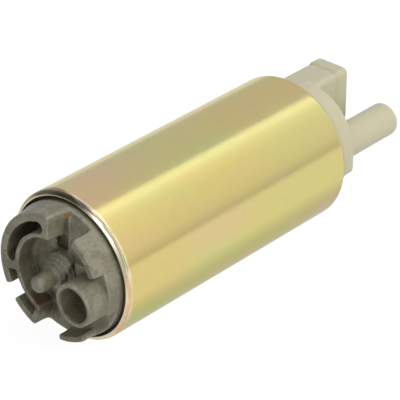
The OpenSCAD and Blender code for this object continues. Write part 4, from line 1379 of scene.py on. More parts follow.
class LapWindingTree(PathTree):
    """Armature coils: each leaves one slot, crosses beside the shaft and comes back through another."""

    name = "lap_winding"
    inputs = {"Slots": 10, "Coil Span": 4, "Wires": 16, "Slot Radius": 10.3, "Layer": 0.95, "Spread": 0.43,
              "Wire Radius": 0.21, "Half Core": 11.6, "Head Base": 0.85, "Head Rise": 0.19, "Bend": 1.3,
              "Middle": 40.1, "Lead Radius": 11.3, "Lead Start": 13.4, "Lead End": 23.1, "Lead Swing": 1.2,
              "Lead Rise": 0.3}

    def sweep(self) -> Socket:
        """Builds every coil from one loop, and the leads to the commutator.

        Returns:
            The windings' geometry.
        """
        graph, sizes = self.graph, self.sizes
        lifted = self.lifted_heads(self.loops())
        both = graph.node("GeometryNodeJoinGeometry", {0: self.wire(lifted, sizes["Wire Radius"], 6)})
        graph.feed(both.inputs[0], self.wire(self.leads(), sizes["Wire Radius"], 8))
        return graph.moved(both.outputs[0], offset=graph.point(z=sizes["Middle"]))

    def copies(self, points: Socket, shape: Socket, angle: Socket) -> Socket:
        """Puts a real copy of a shape on each point.

        Args:
            points: The points.
            shape: The geometry to copy.
            angle: How far each copy is turned round Z.

        Returns:
            The copies' geometry.
        """
        graph = self.graph
        inputs = {"Points": points, "Instance": shape, "Rotation": graph.point(z=angle)}
        placed = graph.first("GeometryNodeInstanceOnPoints", inputs)
        return graph.first("GeometryNodeRealizeInstances", {"Geometry": placed})

    def loop(self, half_span: Socket) -> Socket:
        """Builds the loop of one wire, which leans from the top of one slot to the bottom of the other.

        Args:
            half_span: Half the angle between the two slots.

        Returns:
            The loop's geometry.
        """
        graph, sizes = self.graph, self.sizes
        half_width = graph.times(sizes["Slot Radius"], graph.math("SINE", half_span))
        size = {"Width": graph.times(half_width, 2.0),
                "Height": graph.times(graph.plus(sizes["Half Core"], sizes["Head Base"]), 2.0)}
        flat = graph.first("GeometryNodeCurvePrimitiveQuadrilateral", size)
        bends = {"Curve": flat, "Radius": sizes["Bend"], "Count": 4}
        rounded = graph.first("GeometryNodeFilletCurve", bends, mode="POLY")
        fine = graph.first("GeometryNodeSubdivideCurve", {"Curve": rounded, "Cuts": 1})
        parts = graph.parts(graph.first("GeometryNodeInputPosition"))
        share = graph.math("DIVIDE", parts[0], half_width)
        radial = graph.math("MULTIPLY_ADD", share, graph.times(sizes["Layer"], -1.0), sizes["Slot Radius"])
        off = graph.times(radial, graph.math("COSINE", half_span))
        side = graph.times(radial, graph.math("SINE", half_span), share)
        return graph.moved(fine, graph.point(off, side, parts[1]))

    def loops(self) -> Socket:
        """Builds the loops of every coil, spread over their slots.

        Returns:
            The loops' geometry, with how far each head rises as the attribute reach.
        """
        graph, sizes = self.graph, self.sizes
        half_turn = graph.math("DIVIDE", math.pi, sizes["Slots"])
        loop = self.loop(graph.times(half_turn, sizes["Coil Span"]))
        index = graph.first("GeometryNodeInputIndex")
        coil = graph.math("FLOOR", graph.math("DIVIDE", index, sizes["Wires"]))
        wire = graph.math("MODULO", index, sizes["Wires"])
        row_len = graph.math("SQRT", sizes["Wires"])
        middle = graph.math("MULTIPLY_ADD", row_len, 0.5, -0.5)
        layer = graph.math("FLOOR", graph.math("DIVIDE", wire, row_len))
        column = graph.minus(graph.math("MODULO", wire, row_len), middle)
        row = graph.minus(layer, middle)
        shift = graph.point(graph.times(column, sizes["Spread"]), graph.times(row, sizes["Spread"]))
        angle = graph.times(coil, half_turn, 2.0)
        count = graph.times(sizes["Slots"], sizes["Wires"])
        places = {"Count": count, "Position": graph.turned(shift, angle)}
        points = graph.first("GeometryNodePoints", places)
        reach = graph.math("MULTIPLY_ADD", coil, sizes["Head Rise"], graph.times(layer, sizes["Spread"]))
        note = {"Geometry": points, "Name": "reach", "Value": reach}
        marked = graph.first("GeometryNodeStoreNamedAttribute", note)
        return self.copies(marked, loop, angle)

    def lifted_heads(self, loops: Socket) -> Socket:
        """Lifts each coil's head over the coils that were wound before it.

        Args:
            loops: The loops' geometry.

        Returns:
            The lifted geometry.
        """
        graph, sizes = self.graph, self.sizes
        height = graph.parts(graph.first("GeometryNodeInputPosition"))[2]
        reach = graph.node("GeometryNodeInputNamedAttribute", {"Name": "reach"}).outputs["Attribute"]
        head = graph.plus(sizes["Half Core"], sizes["Head Base"])
        past = graph.remap(graph.math("ABSOLUTE", height), sizes["Half Core"], head, smooth=True)
        rise = graph.times(reach, past, graph.math("SIGN", height))
        return graph.moved(loops, offset=graph.point(z=rise))

    def leads(self) -> Socket:
        """Builds the leads that join the coils to the commutator's edge.

        Returns:
            The leads' geometry.
        """
        graph, sizes = self.graph, self.sizes
        radius, start, end = sizes["Lead Radius"], sizes["Lead Start"], sizes["Lead End"]
        reach = graph.minus(end, start)
        early = graph.math("MULTIPLY_ADD", reach, 0.35, start)
        late = graph.math("MULTIPLY_ADD", reach, -0.4, end)
        corners = {
            "Start": graph.point(sizes["Slot Radius"], z=start),
            "Start Handle": graph.point(sizes["Slot Radius"], sizes["Lead Swing"], early),
            "End Handle": graph.point(graph.plus(radius, sizes["Lead Rise"]), z=late),
            "End": graph.point(radius, z=end),
        }
        lead = graph.first("GeometryNodeCurvePrimitiveBezierSegment", {"Resolution": 16, **corners})
        points = graph.first("GeometryNodePoints", {"Count": sizes["Slots"]})
        index = graph.first("GeometryNodeInputIndex")
        angle = graph.times(index, graph.math("DIVIDE", 2 * math.pi, sizes["Slots"]))
        return self.copies(points, lead, angle)


# Sub-assemblies


@dataclass
class Barrel:
    """The steel barrel, turned from one outline and rolled over at both ends."""

    turning: TurnedTree
    corner_r: float = 0.25
    slope: float = 0.55
    fold: float = 0.05
    bead_top_r: float = 18.97
    blend_to: float = 1.9
    spare: float = 0.0005
    lip_edge_r: float = 0.22
    crown_turn: Pair = (49.0, 88.0)
    corner_steps: int = 6
    lip_steps: int = 5
    roll_steps: int = 14

    def roll(self, sizes: PumpSizes, rim: float, inward: float, mouth_r: float) -> list[Pair]:
        """Lists the outline of one rolled end, from the lip's inner face to the outside of the barrel.

        Args:
            sizes: The pump's driving sizes.
            rim: The place of the rim along the axis.
            inward: The direction from the rim into the barrel, 1 or -1.
            mouth_r: The radius of the lip's opening.

        Returns:
            The points, as place along the axis and radius.
        """
        inner_face = rim + inward * sizes.lip_t
        edge, half = self.lip_edge_r, math.sqrt(0.5)
        shape = [(self.corner_r * (1 - math.cos(a)), mouth_r + edge + self.fold + self.corner_r * math.sin(a))
                 for a in np.radians(np.linspace(0, 45, self.corner_steps))]
        foot, foot_r = shape[-1][0] + self.slope, shape[-1][1] + self.slope
        crown_r = (self.bead_top_r - foot_r) / (1 - half)
        shape += [(foot - self.fold, foot_r - self.fold), (foot + self.fold / 2, foot_r - self.fold)]
        shape += [(foot + crown_r * (half - math.cos(a)), foot_r + crown_r * (math.sin(a) - half))
                  for a in np.radians(np.linspace(*self.crown_turn, self.roll_steps + 1))]
        bead = [(rim + inward * depth, radius) for depth, radius in shape]
        lip = [(rim + inward * (edge - edge * math.cos(a)), mouth_r + edge - edge * math.sin(a))
               for a in np.radians(np.linspace(90, 0, self.lip_steps))]
        side = (rim + inward * self.blend_to, sizes.barrel_r - self.spare)
        return [(inner_face, sizes.seat_r), (inner_face, mouth_r), *lip, *bead, side]

    def build(self, shop: Workshop) -> None:
        """Builds the barrel.

        Args:
            shop: The workshop.
        """
        sizes = shop.sizes
        near = self.roll(sizes, 0.0, 1.0, sizes.inlet_mouth_r)
        far = self.roll(sizes, sizes.barrel_len, -1.0, sizes.outlet_mouth_r)
        bore = [
            (sizes.holder_start, sizes.seat_r), (sizes.holder_start, sizes.bore_r),
            (sizes.inlet_seat, sizes.bore_r), (sizes.inlet_seat, sizes.seat_r),
        ]
        outline = near + far[::-1] + bore
        mesh = self.turning.turned(shop.shelf["zinc_steel"], outline)
        shop.piece("rolled_barrel", shop.place(mesh), "zinc_steel", "housing", "housing_shell")


@dataclass
class InletCover:
    """The cast cover at the inlet end: spigot, post, walls, fin, web and lug in one casting.

    Heights are measured outward from the barrel's rim, places along the pump inward from it. A turn holds
    a form's first and last angle, a span its first and last place. Each slot has its turn and its end, each
    gap its outer radius, turn and rounding.
    """

    step: float = 0.26
    rounding: float = 0.9
    fillet: float = 0.7
    edge_r: float = 0.3
    boss_r: float = 16.95
    boss_end: float = 1.5
    floor: float = -1.5
    floor_cut: float = -1.55
    root: float = -1.1
    wall_front_r: float = 16.2
    wall_back_r: float = 16.9
    pocket_r: float = 10.1
    crescent_h: float = 6.8
    crescent_turn: Pair = (-70.0, 90.0)
    end_lean: float = 6.5
    side_wall_h: float = 7.0
    side_wall_turn: Pair = (121.5, 157.8)
    ledge_h: float = 4.3
    ledge_inner_r: float = 13.7
    ledge_turn: Pair = (155.0, 196.0)
    lug_h: float = 5.9
    lug_inner_r: float = 15.15
    lug_outer_r: float = 16.7
    lug_turn: Pair = (-127.0, -95.5)
    slot_outer_r: float = 14.1
    slot_inner_r: float = 11.3
    slots_at: tuple[tuple[Pair, float], ...] = (((-1.0, 82.0), -3.2), ((-1.0, 62.0), 2.6))
    gaps_at: tuple[tuple[float, Pair, float], ...] = (
        (14.1, (-30.0, -12.0), 0.2), (18.0, (-41.5, -27.0), 0.2), (14.4, (-64.0, -39.5), 0.3),
    )
    spigot_at: Pair = (-10.8, -1.3)
    spigot_r: float = 5.45
    spigot_h: float = 10.1
    inlet_bore_r: float = 3.97
    inlet_mouth_r: float = 4.39
    inlet_mouth_len: float = 3.0
    post_r: float = 2.1
    post_h: float = 11.3
    post_tip_r: float = 1.35
    post_rings: int = 4
    post_ring_r: float = 2.85
    post_ring_step: float = 0.725
    post_ring_t: float = 0.85
    post_base_h: float = 5.9
    fin_at: Pair = (-2.6, 11.6)
    fin_size: Pair = (0.46, 8.0)
    fin_h: float = 2.7
    web_to: float = -5.0
    web_len: float = 7.9
    web_bottom: float = -2.725
    web_top: float = 4.675
    web_h: float = 3.4
    web_steps: Pair = (1.2, 0.35)
    web_fillets: tuple[float, ...] = (2.2, 0.2, 0.2)
    recess_at: Pair = (0.7, 7.6)
    recess_size: Pair = (3.6, 4.6)
    recess_span: Pair = (-3.0, -0.2)
    crack_r: float = 5.7
    crack_w: float = 0.6
    crack_turn: Pair = (138.0, 265.0)
    crack_span: Pair = (-4.3, -0.8)
    channel_r: float = 15.2
    channel_w: float = 2.8
    channel_depth: float = 1.3
    channel_turn: Pair = (-40.0, 260.0)
    button_r: float = 3.02
    button_seat: float = 5.45
    bump_patch: float = 2.2
    bump_h: float = 0.035
    bump_seed: int = 11

    def walls(self, grid: FieldGrid) -> Array:
        """Gives the walls that stand on the floor of the cover.

        Args:
            grid: The grid.

        Returns:
            The walls' distance.
        """
        sunk = np.clip((grid.along + self.crescent_h) / (self.crescent_h + self.floor), 0, 1)
        leaning = (self.crescent_turn[0], self.crescent_turn[1] + self.end_lean * sunk)
        front, back = self.wall_front_r, self.wall_back_r
        walls = (
            (self.pocket_r, front, back, leaning, -self.crescent_h),
            (self.slot_outer_r, front, back, self.side_wall_turn, -self.side_wall_h),
            (self.ledge_inner_r, back, back, self.ledge_turn, -self.ledge_h),
            (self.lug_inner_r, self.lug_outer_r, self.lug_outer_r, self.lug_turn, -self.lug_h),
        )
        return np.minimum.reduce([grid.sector(*wall, self.root, self.edge_r) for wall in walls])

    def raised(self, grid: FieldGrid) -> Array:
        """Gives everything that stands out of the barrel's lip.

        Args:
            grid: The grid.

        Returns:
            The distance of the raised forms.
        """
        boss = grid.rod(self.boss_r, self.floor, self.boss_end, rounding=self.edge_r)
        solid = joined(boss, self.walls(grid), self.fillet)
        for index, fillet in enumerate(self.web_fillets):
            low = (self.web_to - self.web_len, self.web_bottom - self.web_steps[0] * index)
            size = (self.web_to - low[0], self.web_top - low[1])
            middle = (low[0] + size[0] / 2, low[1] + size[1] / 2)
            start = -self.web_h + self.web_steps[1] * index
            solid = joined(solid, grid.column(middle, size, 0.3, start, self.root, rounding=0.15), fillet)
        for index in range(self.post_rings):
            radius = self.post_ring_r + self.post_ring_step * index
            start = self.post_ring_t * index - self.post_base_h
            solid = joined(solid, grid.rod(radius, start, self.root, rounding=0.15), fillet=0.25)
        post = grid.rod(self.post_r, -self.post_h, self.root, rounding=self.post_tip_r)
        fin = grid.column(self.fin_at, self.fin_size, 0.2, -self.fin_h, 0.0, rounding=0.2)
        spigot = grid.rod(self.spigot_r, -self.spigot_h, self.root, self.spigot_at, rounding=0.35)
        for form, fillet in ((post, 0.5), (fin, 0.4), (spigot, self.fillet)):
            solid = joined(solid, form, fillet)
        return solid

    def field(self, grid: FieldGrid, sizes: PumpSizes) -> Array:
        """Gives the whole casting.

        Args:
            grid: The grid.
            sizes: The pump's driving sizes.

        Returns:
            The casting's distance.
        """
        disc = grid.rod(sizes.insert_r, sizes.lip_t + 0.02, sizes.cover_face, rounding=0.1)
        relief = grid.unevenness(self.bump_patch, self.bump_h, self.bump_seed)
        solid = np.minimum(disc, self.raised(grid) + relief)
        beyond, mouth, front = sizes.cover_face + 1.0, -self.spigot_h, -self.crescent_h - 2.0
        tools = (
            *(grid.slot(self.slot_inner_r, self.slot_outer_r, turn, front, end)
              for turn, end in self.slots_at),
            *(grid.sector(self.slot_inner_r, outer, outer, turn, front, self.floor_cut, rounding)
              for outer, turn, rounding in self.gaps_at),
            grid.column(self.recess_at, self.recess_size, 0.5, *self.recess_span),
            grid.slot(self.crack_r - self.crack_w, self.crack_r, self.crack_turn, *self.crack_span),
            grid.rod(self.inlet_bore_r, mouth - 2.0, beyond, self.spigot_at),
            grid.funnel(self.inlet_mouth_r, self.inlet_bore_r, mouth - 0.05, mouth + self.inlet_mouth_len,
                        self.spigot_at),
            grid.sector(self.channel_r - self.channel_w, self.channel_r, self.channel_r, self.channel_turn,
                        sizes.cover_face - self.channel_depth, beyond),
            grid.rod(self.button_r, self.button_seat, beyond),
        )
        for tool in tools:
            solid = cut_from(solid, tool)
        return solid

    def build(self, shop: Workshop) -> None:
        """Builds the cover's skin.

        Args:
            shop: The workshop.
        """
        grid = FieldGrid(shop.sizes.insert_r, -self.post_h, shop.sizes.cover_face, self.step)
        mesh = Skin(grid, self.field(grid, shop.sizes), self.rounding).mesh(shop, "cast_inlet_cover")
        shop.piece("cast_inlet_cover", mesh, "cast_cover", "housing", "inlet_cover")


@dataclass
class EndCap:
    """The moulded cap at the outlet end: rim, side wall, platform, connector tower, nipple and boss."""

    step: float = 0.29
    rounding: float = 0.8
    fillet: float = 0.5
    neck_r: float = 17.7
    rim_top: float = 79.6
    side_top: float = 82.6
    side_r: float = 18.0
    platform_top: float = 84.0
    platform_r: float = 13.8
    platform_at: Pair = (-2.73, 2.64)
    tower_at: Pair = (-0.35, 9.9)
    tower_size: Pair = (9.3, 14.2)
    tower_corner: float = 1.2
    tower_end: float = 95.0
    collar_start: float = 91.0
    collar_step: float = 0.3
    collar_groove: float = 0.12
    groove_len: float = 0.6
    socket_start: float = 86.0
    socket_wall: float = 1.3
    nipple_at: Pair = (-10.4, 1.0)
    nipple_r: float = 4.4
    nipple_end: float = 104.5
    nipple_bore_r: float = 2.6
    chamber_r: float = 3.4
    chamber_end: float = 86.0
    relief_at: Pair = (9.5, -7.97)
    relief_r: float = 3.5
    relief_port_r: float = 1.2
    relief_chamber_r: float = 2.15
    relief_chamber_start: float = 77.0
    cavity_r: float = 15.2
    root: float = 78.6
    side_inner_r: float = 15.3
    side_turn: Pair = (95.0, 189.0)
    seal_groove_r: float = 16.6
    seal_groove: Pair = (69.9, 71.5)
    seal_turns: tuple[Pair, ...] = ((-170.0, 170.0), (160.0, 200.0))
    blade_off: float = 3.0
    blade_slot: Pair = (3.0, 1.0)

    def outside(self, grid: FieldGrid, sizes: PumpSizes) -> Array:
        """Gives the outer form of the moulding.

        Args:
            grid: The grid.
            sizes: The pump's driving sizes.

        Returns:
            The form's distance.
        """
        skirt = grid.rod(sizes.insert_r, sizes.holder_top, sizes.barrel_len - sizes.lip_t, rounding=0.15)
        neck = grid.rod(self.neck_r, sizes.holder_top + 1.0, self.rim_top, rounding=0.5)
        solid = np.minimum(skirt, neck)
        side = grid.sector(self.side_inner_r, self.side_r, self.side_r, self.side_turn, self.root,
                           self.side_top, rounding=0.5)
        platform = grid.rod(self.platform_r, self.root, self.platform_top, self.platform_at, rounding=0.6)
        tower = grid.column(self.tower_at, self.tower_size, self.tower_corner, self.root, self.tower_end, 0.3)
        collar_size = tuple(s + 2 * self.collar_step for s in self.tower_size)
        collar = grid.column(self.tower_at, collar_size, self.tower_corner + self.collar_step,
                             self.collar_start, self.tower_end, rounding=0.35)
        nipple = grid.rod(self.nipple_r, self.root, self.nipple_end, self.nipple_at, rounding=0.8)
        relief = grid.rod(self.relief_r, self.root, self.platform_top, self.relief_at, rounding=0.4)
        for shape in (side, platform, tower, nipple, relief):
            solid = joined(solid, shape, self.fillet)
        groove_size = tuple(s - 2 * self.collar_groove for s in self.tower_size)
        start, end = self.collar_start - self.groove_len, self.collar_start
        core = grid.column(self.tower_at, groove_size, self.tower_corner, start - 1.0, end + 1.0)
        solid = cut_from(solid, np.maximum(-core, grid.column(self.tower_at, collar_size, 0.3, start, end)))
        return joined(solid, collar)

    def hollows(self, grid: FieldGrid, sizes: PumpSizes) -> list[Array]:
        """Lists what is cut out of the moulding.

        Args:
            grid: The grid.
            sizes: The pump's driving sizes.

        Returns:
            The distance of each tool.
        """
        socket_size = tuple(s - 2 * self.socket_wall for s in self.tower_size)
        inside, above = sizes.roof_start - 2.0, self.platform_top + 2.0
        cuts = [
            grid.rod(self.cavity_r, sizes.holder_top - 2.0, sizes.roof_start, rounding=0.3),
            grid.column(self.tower_at, socket_size, 0.6, self.socket_start, self.tower_end + 2.0),
            grid.rod(self.chamber_r, inside, self.chamber_end, self.nipple_at),
            grid.rod(self.nipple_bore_r, self.chamber_end - 1.0, self.nipple_end + 2.0, self.nipple_at),
            grid.rod(self.relief_port_r, inside, self.platform_top, self.relief_at),
            grid.rod(self.relief_chamber_r, self.relief_chamber_start, above, self.relief_at),
        ]
        for turn in self.seal_turns:
            cuts.append(grid.sector(self.seal_groove_r, 20.0, 20.0, turn, *self.seal_groove))
        for side in (-1, 1):
            middle = (self.tower_at[0], self.tower_at[1] + side * self.blade_off)
            cuts.append(grid.column(middle, self.blade_slot, 0.05, inside, self.socket_start + 1.0))
        return cuts

    def build(self, shop: Workshop) -> None:
        """Builds the cap's skin.

        Args:
            shop: The workshop.
        """
        sizes = shop.sizes
        grid = FieldGrid(sizes.insert_r, sizes.holder_top, self.nipple_end, self.step)
        solid = self.outside(grid, sizes)
        for tool in self.hollows(grid, sizes):
            solid = cut_from(solid, tool)
        mesh = Skin(grid, solid, self.rounding).mesh(shop, "moulded_end_cap")
        shop.piece("moulded_end_cap", mesh, "beige_plastic", "housing", "end_cap")


@dataclass
class PumpStage:
    """The turbine stage and the bushes, which keep their CAD meshes."""

    def build(self, shop: Workshop) -> None:
        """Dresses the stage.

        Args:
            shop: The workshop.
        """
        shop.dress("sintered_steel", "spacer_ring", "pump_casing")
        shop.dress("impeller_resin", "impeller")
        shop.dress("bronze", "lower_bush", "upper_bush")
        shop.dress("bright_steel", "shaft", "thrust_button", "thrust_washer")


@dataclass
class Motor:
    """The armature with its lap winding, the commutator and the magnets."""

    windings: LapWindingTree

    def build(self, shop: Workshop) -> None:
        """Builds the winding and dresses the rest.

        Args:
            shop: The workshop.
        """
        shop.dress("lamination", "armature_core")
        shop.dress("copper", "commutator_segments")
        shop.dress("insulation", "armature_insulators")
        shop.dress("phenolic", "commutator_hub")
        shop.dress("ferrite", "magnet_left", "magnet_right")
        shop.dress("spring_steel", "magnet_clips")
        mesh = self.windings.grow(shop.shelf["copper"], {})
        shop.piece("lap_winding", shop.place(mesh), "copper", "rotor", "armature_windings")


class CoilKind(Enum):
    """What a coil does, which settles how its wire is laid."""

    SPRING = "spring"
    CHOKE = "choke"
    LEAD = "lead"


@dataclass(frozen=True)
class Coil:
    """One coil along the pump, from the end that moves to the end that stays. Sizes are in millimetres."""

    node: str
    kind: CoilKind
    at: Pair
    start: float
    end: float
    radius: float
    wire_r: float
    turns: float
    joint: str = ""
    travel: float = 0.0
    seat: float = 0.0

    def values(self) -> dict[str, float | int]:
        """Gives the inputs of the coil tree.

        Returns:
            Each input's name and value.
        """
        kinds = {CoilKind.SPRING: (1.0, 1), CoilKind.CHOKE: (0.0, 1), CoilKind.LEAD: (0.0, 5)}
        closed, strands = kinds[self.kind]
        return {"Radius": self.radius, "Wire Radius": self.wire_r, "Length": self.end - self.start,
                "Turns": self.turns, "Closed Turns": closed, "Strands": strands}

    def build(self, shop: Workshop, tree: CoilTree, finish: str) -> None:
        """Grows the coil and puts it in its place; a coil with a joint gets a mesh of its own.

        Args:
            shop: The workshop.
            tree: The coil tree.
            finish: The coil's finish.
        """
        mesh = shop.place(tree.grow(shop.shelf[finish], self.values()), *self.at, self.start)
        piece = shop.piece(f"coiled_{self.node}", mesh, finish, "housing", self.node)
        if self.joint:
            anchor = shop.sizes.row(*self.at, self.seat)
            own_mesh(piece)


@dataclass
class BrushGear:
    """The brush holder, brushes, chokes and contacts."""

    coils: CoilTree
    brush_angle: float = 45.0
    brush_place: float = 7.5
    brush_end: float = 70.05
    spring_gap: float = 0.13
    spring_r: float = 1.8
    spring_wire_r: float = 0.2
    spring_turns: float = 5.0
    lead_r: float = 0.27
    lead_wire_r: float = 0.15
    lead_turns: float = 2.5
    travel: float = 1.5
    choke_place: float = 12.0
    choke_along: float = 70.25
    choke_len: float = 6.75
    choke_r: float = 1.9
    choke_wire_r: float = 0.36
    choke_turns: float = 9.0

    def build(self, shop: Workshop) -> None:
        """Winds the springs, leads and chokes, and dresses the rest.

        Args:
            shop: The workshop.
        """
        shop.dress("holder_plastic", "brush_holder")
        shop.dress("carbon", "brush_positive", "brush_negative")
        shop.dress("ferrite", "choke_cores")
        shop.dress("contact_brass", "terminal_positive", "terminal_negative")
        self.chokes(shop)
        turn = math.radians(self.brush_angle)
        roof = shop.sizes.roof_start
        for pole, side in (("positive", 1), ("negative", -1)):
            at = (side * self.brush_place * math.cos(turn), side * self.brush_place * math.sin(turn))
            start, end = self.brush_end + self.spring_gap, roof - self.spring_gap
            joint = f"{pole}_brush_slide"
            spring = Coil(f"brush_spring_{pole}", CoilKind.SPRING, at, start, end, self.spring_r,
                          self.spring_wire_r, self.spring_turns, joint, self.travel, roof)
            spring.build(shop, self.coils, "spring_steel")
            lead = Coil(f"brush_lead_{pole}", CoilKind.LEAD, at, self.brush_end + 0.02, end, self.lead_r,
                        self.lead_wire_r, self.lead_turns, joint, self.travel, roof)
            lead.build(shop, self.coils, "copper")

    def chokes(self, shop: Workshop) -> None:
        """Winds both chokes, which lie across the pump beside the brushes.

        Args:
            shop: The workshop.
        """
        turn = math.radians(self.brush_angle + 90)
        outward = Vector((0, math.cos(turn), math.sin(turn)))
        lying = Vector((1, 0, 0)).cross(outward)
        winding = Coil("choke_windings", CoilKind.CHOKE, (0.0, 0.0), 0.0, self.choke_len, self.choke_r,
                       self.choke_wire_r, self.choke_turns)
        pair = bmesh.new()
        for side in (1, -1):
            mesh = self.coils.grow(shop.shelf["copper"], winding.values())
            middle = outward * side * self.choke_place - lying * self.choke_len / 2
            pair.from_mesh(shop.place(mesh, middle.y, middle.z, self.choke_along, lying))
        both = bpy.data.meshes.new("wound_chokes")
        pair.to_mesh(both)
        pair.free()
        shop.piece("wound_chokes", both, "copper", "housing", "choke_windings")


@dataclass
class Valves:
    """The check valve in the nipple, the relief valve and the sealing ring."""

    coils: CoilTree
    check_at: Pair = (-10.4, 1.0)
    check_spring: Pair = (78.05, 85.9)
    check_seat: float = 86.0
    check_travel: float = 2.0
    check_r: float = 2.0
    relief_at: Pair = (9.5, -7.97)
    relief_spring: Pair = (80.37, 82.4)
    relief_seat: float = 82.5
    relief_travel: float = 1.0
    relief_r: float = 1.3
    wire_r: float = 0.175
    check_turns: float = 7.0
    relief_turns: float = 3.6

    def build(self, shop: Workshop) -> None:
        """Winds both springs and dresses the rest.

        Args:
            shop: The workshop.
        """
        shop.dress("bright_steel", "check_valve_seat", "relief_valve_ball")
        shop.dress("valve_plastic", "check_valve_poppet")
        shop.dress("bronze", "relief_valve_plug")
        shop.dress("seal_rubber", "cap_seal")
        check = Coil("check_valve_spring", CoilKind.SPRING, self.check_at, *self.check_spring, self.check_r,
                     self.wire_r, self.check_turns, "check_valve_lift", self.check_travel, self.check_seat)
        relief = Coil("relief_valve_spring", CoilKind.SPRING, self.relief_at, *self.relief_spring,
                      self.relief_r, self.wire_r, self.relief_turns, "relief_valve_lift", self.relief_travel,
                      self.relief_seat)
        for spring in (check, relief):
            spring.build(shop, self.coils, "spring_steel")


# Studio


@dataclass(frozen=True)
class Lamp:
    """One soft rectangular lamp, aimed at the pump. Polished metal doesn't mirror it."""

    name: str
    place: Point
    size: Pair
    power: float

    def hang(self) -> None:
        """Hangs the lamp."""
        lamp = bpy.data.lights.new(self.name, "AREA")
        lamp.shape = "RECTANGLE"
        lamp.size, lamp.size_y = self.size
        lamp.energy = self.power
        holder = into_scene(self.name, lamp)
        holder.location = self.place
        holder.rotation_euler = (-Vector(self.place)).to_track_quat("-Z", "Y").to_euler()
        holder.visible_glossy = False


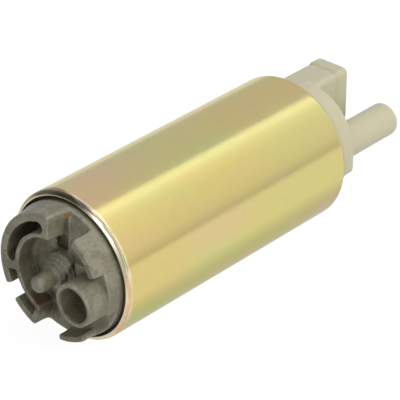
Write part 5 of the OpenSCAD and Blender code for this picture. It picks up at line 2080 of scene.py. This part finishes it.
@dataclass
class Studio:
    """The camera, the lamps, the pale surroundings and the floor."""

    camera_at: Point = (-0.3663, -0.3365, 0.2932)
    camera_turn: float = -47.891
    camera_tilt: float = -30.436
    lens_mm: float = 214.5
    lamps: tuple[Lamp, ...] = (
        Lamp("key", (0.05, -0.78, 0.72), (0.5, 0.35), 5.5),
        Lamp("top", (0.25, -0.05, 0.9), (1.0, 0.3), 3.0),
        Lamp("front", (-0.84, -0.5, 0.45), (0.5, 0.5), 0.2),
    )
    floor_size: float = 6.0
    ambient: float = 0.45
    across: tuple[tuple[float, Colour], ...] = (
        (0.0, (0.69, 0.69, 0.84)), (85.5, (0.69, 0.69, 0.84)), (88.5, (1.32, 1.36, 1.5)),
        (96.0, (1.36, 1.4, 1.6)), (107.0, (1.08, 1.08, 1.1)), (126.0, (0.96, 0.96, 0.96)),
        (150.0, (0.91, 0.9, 0.9)), (166.0, (0.84, 0.84, 0.84)), (177.0, (0.66, 0.66, 0.68)),
        (180.0, (0.66, 0.66, 0.68)), (181.0, (0.9, 0.9, 0.9)), (359.0, (0.69, 0.69, 0.84)),
    )
    along: tuple[Pair, ...] = (
        (-1.0, 1.25), (-0.35, 1.6), (-0.15, 0.5), (0.12, 0.34), (0.27, 1.35), (0.45, 1.3), (0.57, 1.0),
        (1.0, 1.0),
    )
    brightest: float = 2.0
    dark_corner: float = 0.12
    corner_along: Pair = (-0.05, -0.4)
    corner_across: Pair = (0.0, 0.3)
    floor_tone: Colour = (0.86, 0.86, 0.85)
    floor_shade: Range = (0.018, 0.036, 0.74, 0.99)
    floor_glow: float = 1.08
    glow_share: float = 0.88

    def build(self, sizes: PumpSizes) -> None:
        """Builds the camera, lamps and floor.

        Args:
            sizes: The pump's driving sizes.
        """
        self.camera()
        self.world()
        for lamp in self.lamps:
            lamp.hang()
        self.floor(-sizes.barrel_r * MM)
        bpy.context.scene.view_settings.view_transform = "Standard"

    def camera(self) -> None:
        """Places the camera."""
        lens = bpy.data.cameras.new("camera")
        lens.lens = self.lens_mm
        lens.clip_start = 0.01
        eye = into_scene("camera", lens)
        eye.location = self.camera_at
        eye.rotation_euler = Euler((math.radians(90 + self.camera_tilt), 0, math.radians(self.camera_turn)))
        bpy.context.scene.camera = eye

    def world(self) -> None:
        """Builds pale surroundings whose tone changes across the pump and along it."""
        world = bpy.data.worlds.new("studio")
        bpy.context.scene.world = world
        graph = empty_graph(world)
        parts = graph.parts(graph.node("ShaderNodeTexCoord").outputs["Generated"])
        angle = graph.math("ARCTAN2", parts[2], parts[1])
        turn = graph.math("FRACT", graph.plus(graph.math("DIVIDE", angle, 2 * math.pi), 1.0))
        tones = [(degrees / 360, tuple(c / self.brightest for c in tone)) for degrees, tone in self.across]
        levels = [((x + 1) / 2, (tone / self.brightest,) * 3) for x, tone in self.along]
        along = graph.ramp(graph.remap(parts[0], -1.0, 1.0), levels)
        bright = graph.blend(1.0, graph.ramp(turn, tones), along, "MULTIPLY")
        toned = graph.scaled(bright, self.brightest * self.brightest)
        dark = graph.times(graph.remap(parts[0], *self.corner_along, smooth=True),
                           graph.remap(parts[1], *self.corner_across, smooth=True))
        shaded = graph.blend(dark, toned, rgba((self.dark_corner,) * 3))
        rays = graph.node("ShaderNodeLightPath").outputs
        softer = graph.scaled(shaded, graph.remap(rays["Is Diffuse Ray"], 0.0, 1.0, 1.0, self.ambient))
        seen = graph.math("MAXIMUM", rays["Is Camera Ray"], rays["Is Transmission Ray"])
        around = graph.blend(seen, softer, rgba((1.0, 1.0, 1.0)))
        sky = graph.first("ShaderNodeBackground", {"Color": around, "Strength": 1.0})
        graph.node("ShaderNodeOutputWorld", {"Surface": sky})

    def floor(self, height: float) -> None:
        """Lays a white floor that keeps a soft shadow, with a painted shadow close to the pump in what
        reflections see.

        Args:
            height: The floor's height, in metres.
        """
        half = self.floor_size / 2
        corners = [(-half, -half, height), (half, -half, height), (half, half, height), (-half, half, height)]
        mesh = bpy.data.meshes.new("floor")
        mesh.from_pydata(corners, [], [(0, 1, 2, 3)])
        paint = bpy.data.materials.new("floor_white")
        graph = empty_graph(paint)
        rays = graph.node("ShaderNodeLightPath").outputs
        mirrored = graph.math("MAXIMUM", rays["Is Glossy Ray"], rays["Is Transmission Ray"])
        seen = graph.math("MAXIMUM", rays["Is Camera Ray"], mirrored)
        matt = graph.first("ShaderNodeBsdfDiffuse", {"Color": rgba(self.floor_tone)})
        place = graph.node("ShaderNodeTexCoord").outputs["Object"]
        # Painted shadow: the glow that reflections see is dimmer close to the pump; the camera sees the full
        # glow.
        near = graph.remap(graph.math("ABSOLUTE", graph.parts(place)[1]), *self.floor_shade, True)
        strength = graph.math("MULTIPLY_ADD", rays["Is Camera Ray"], graph.minus(self.floor_glow, near), near)
        glow = graph.first("ShaderNodeEmission", {"Color": rgba((1.0, 1.0, 1.0)), "Strength": strength})
        shaders = {0: graph.times(seen, self.glow_share), 1: matt, 2: glow}
        graph.node("ShaderNodeOutputMaterial", {"Surface": graph.first("ShaderNodeMixShader", shaders)})
        mesh.materials.append(paint)
        into_scene("floor", mesh)


def main() -> None:
    """Builds the camera first and then the pump, one sub-assembly after the other."""
    logging.basicConfig(level=logging.INFO, format="%(message)s")
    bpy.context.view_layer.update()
    sizes = PumpSizes.from_frame()
    Studio().build(sizes)
    effects, coils = SharedEffects(), CoilTree()
    shop = Workshop(sizes, {finish.name: finish.material(effects) for finish in pump_finishes(sizes)})
    assemblies = (
        Barrel(TurnedTree()), InletCover(), EndCap(), PumpStage(), Motor(LapWindingTree()), BrushGear(coils),
        Valves(coils),
    )
    for assembly in assemblies:
        assembly.build(shop)
        log.info("%s done", type(assembly).__name__)
    bpy.context.view_layer.update()


if __name__ == "__main__":
    main()
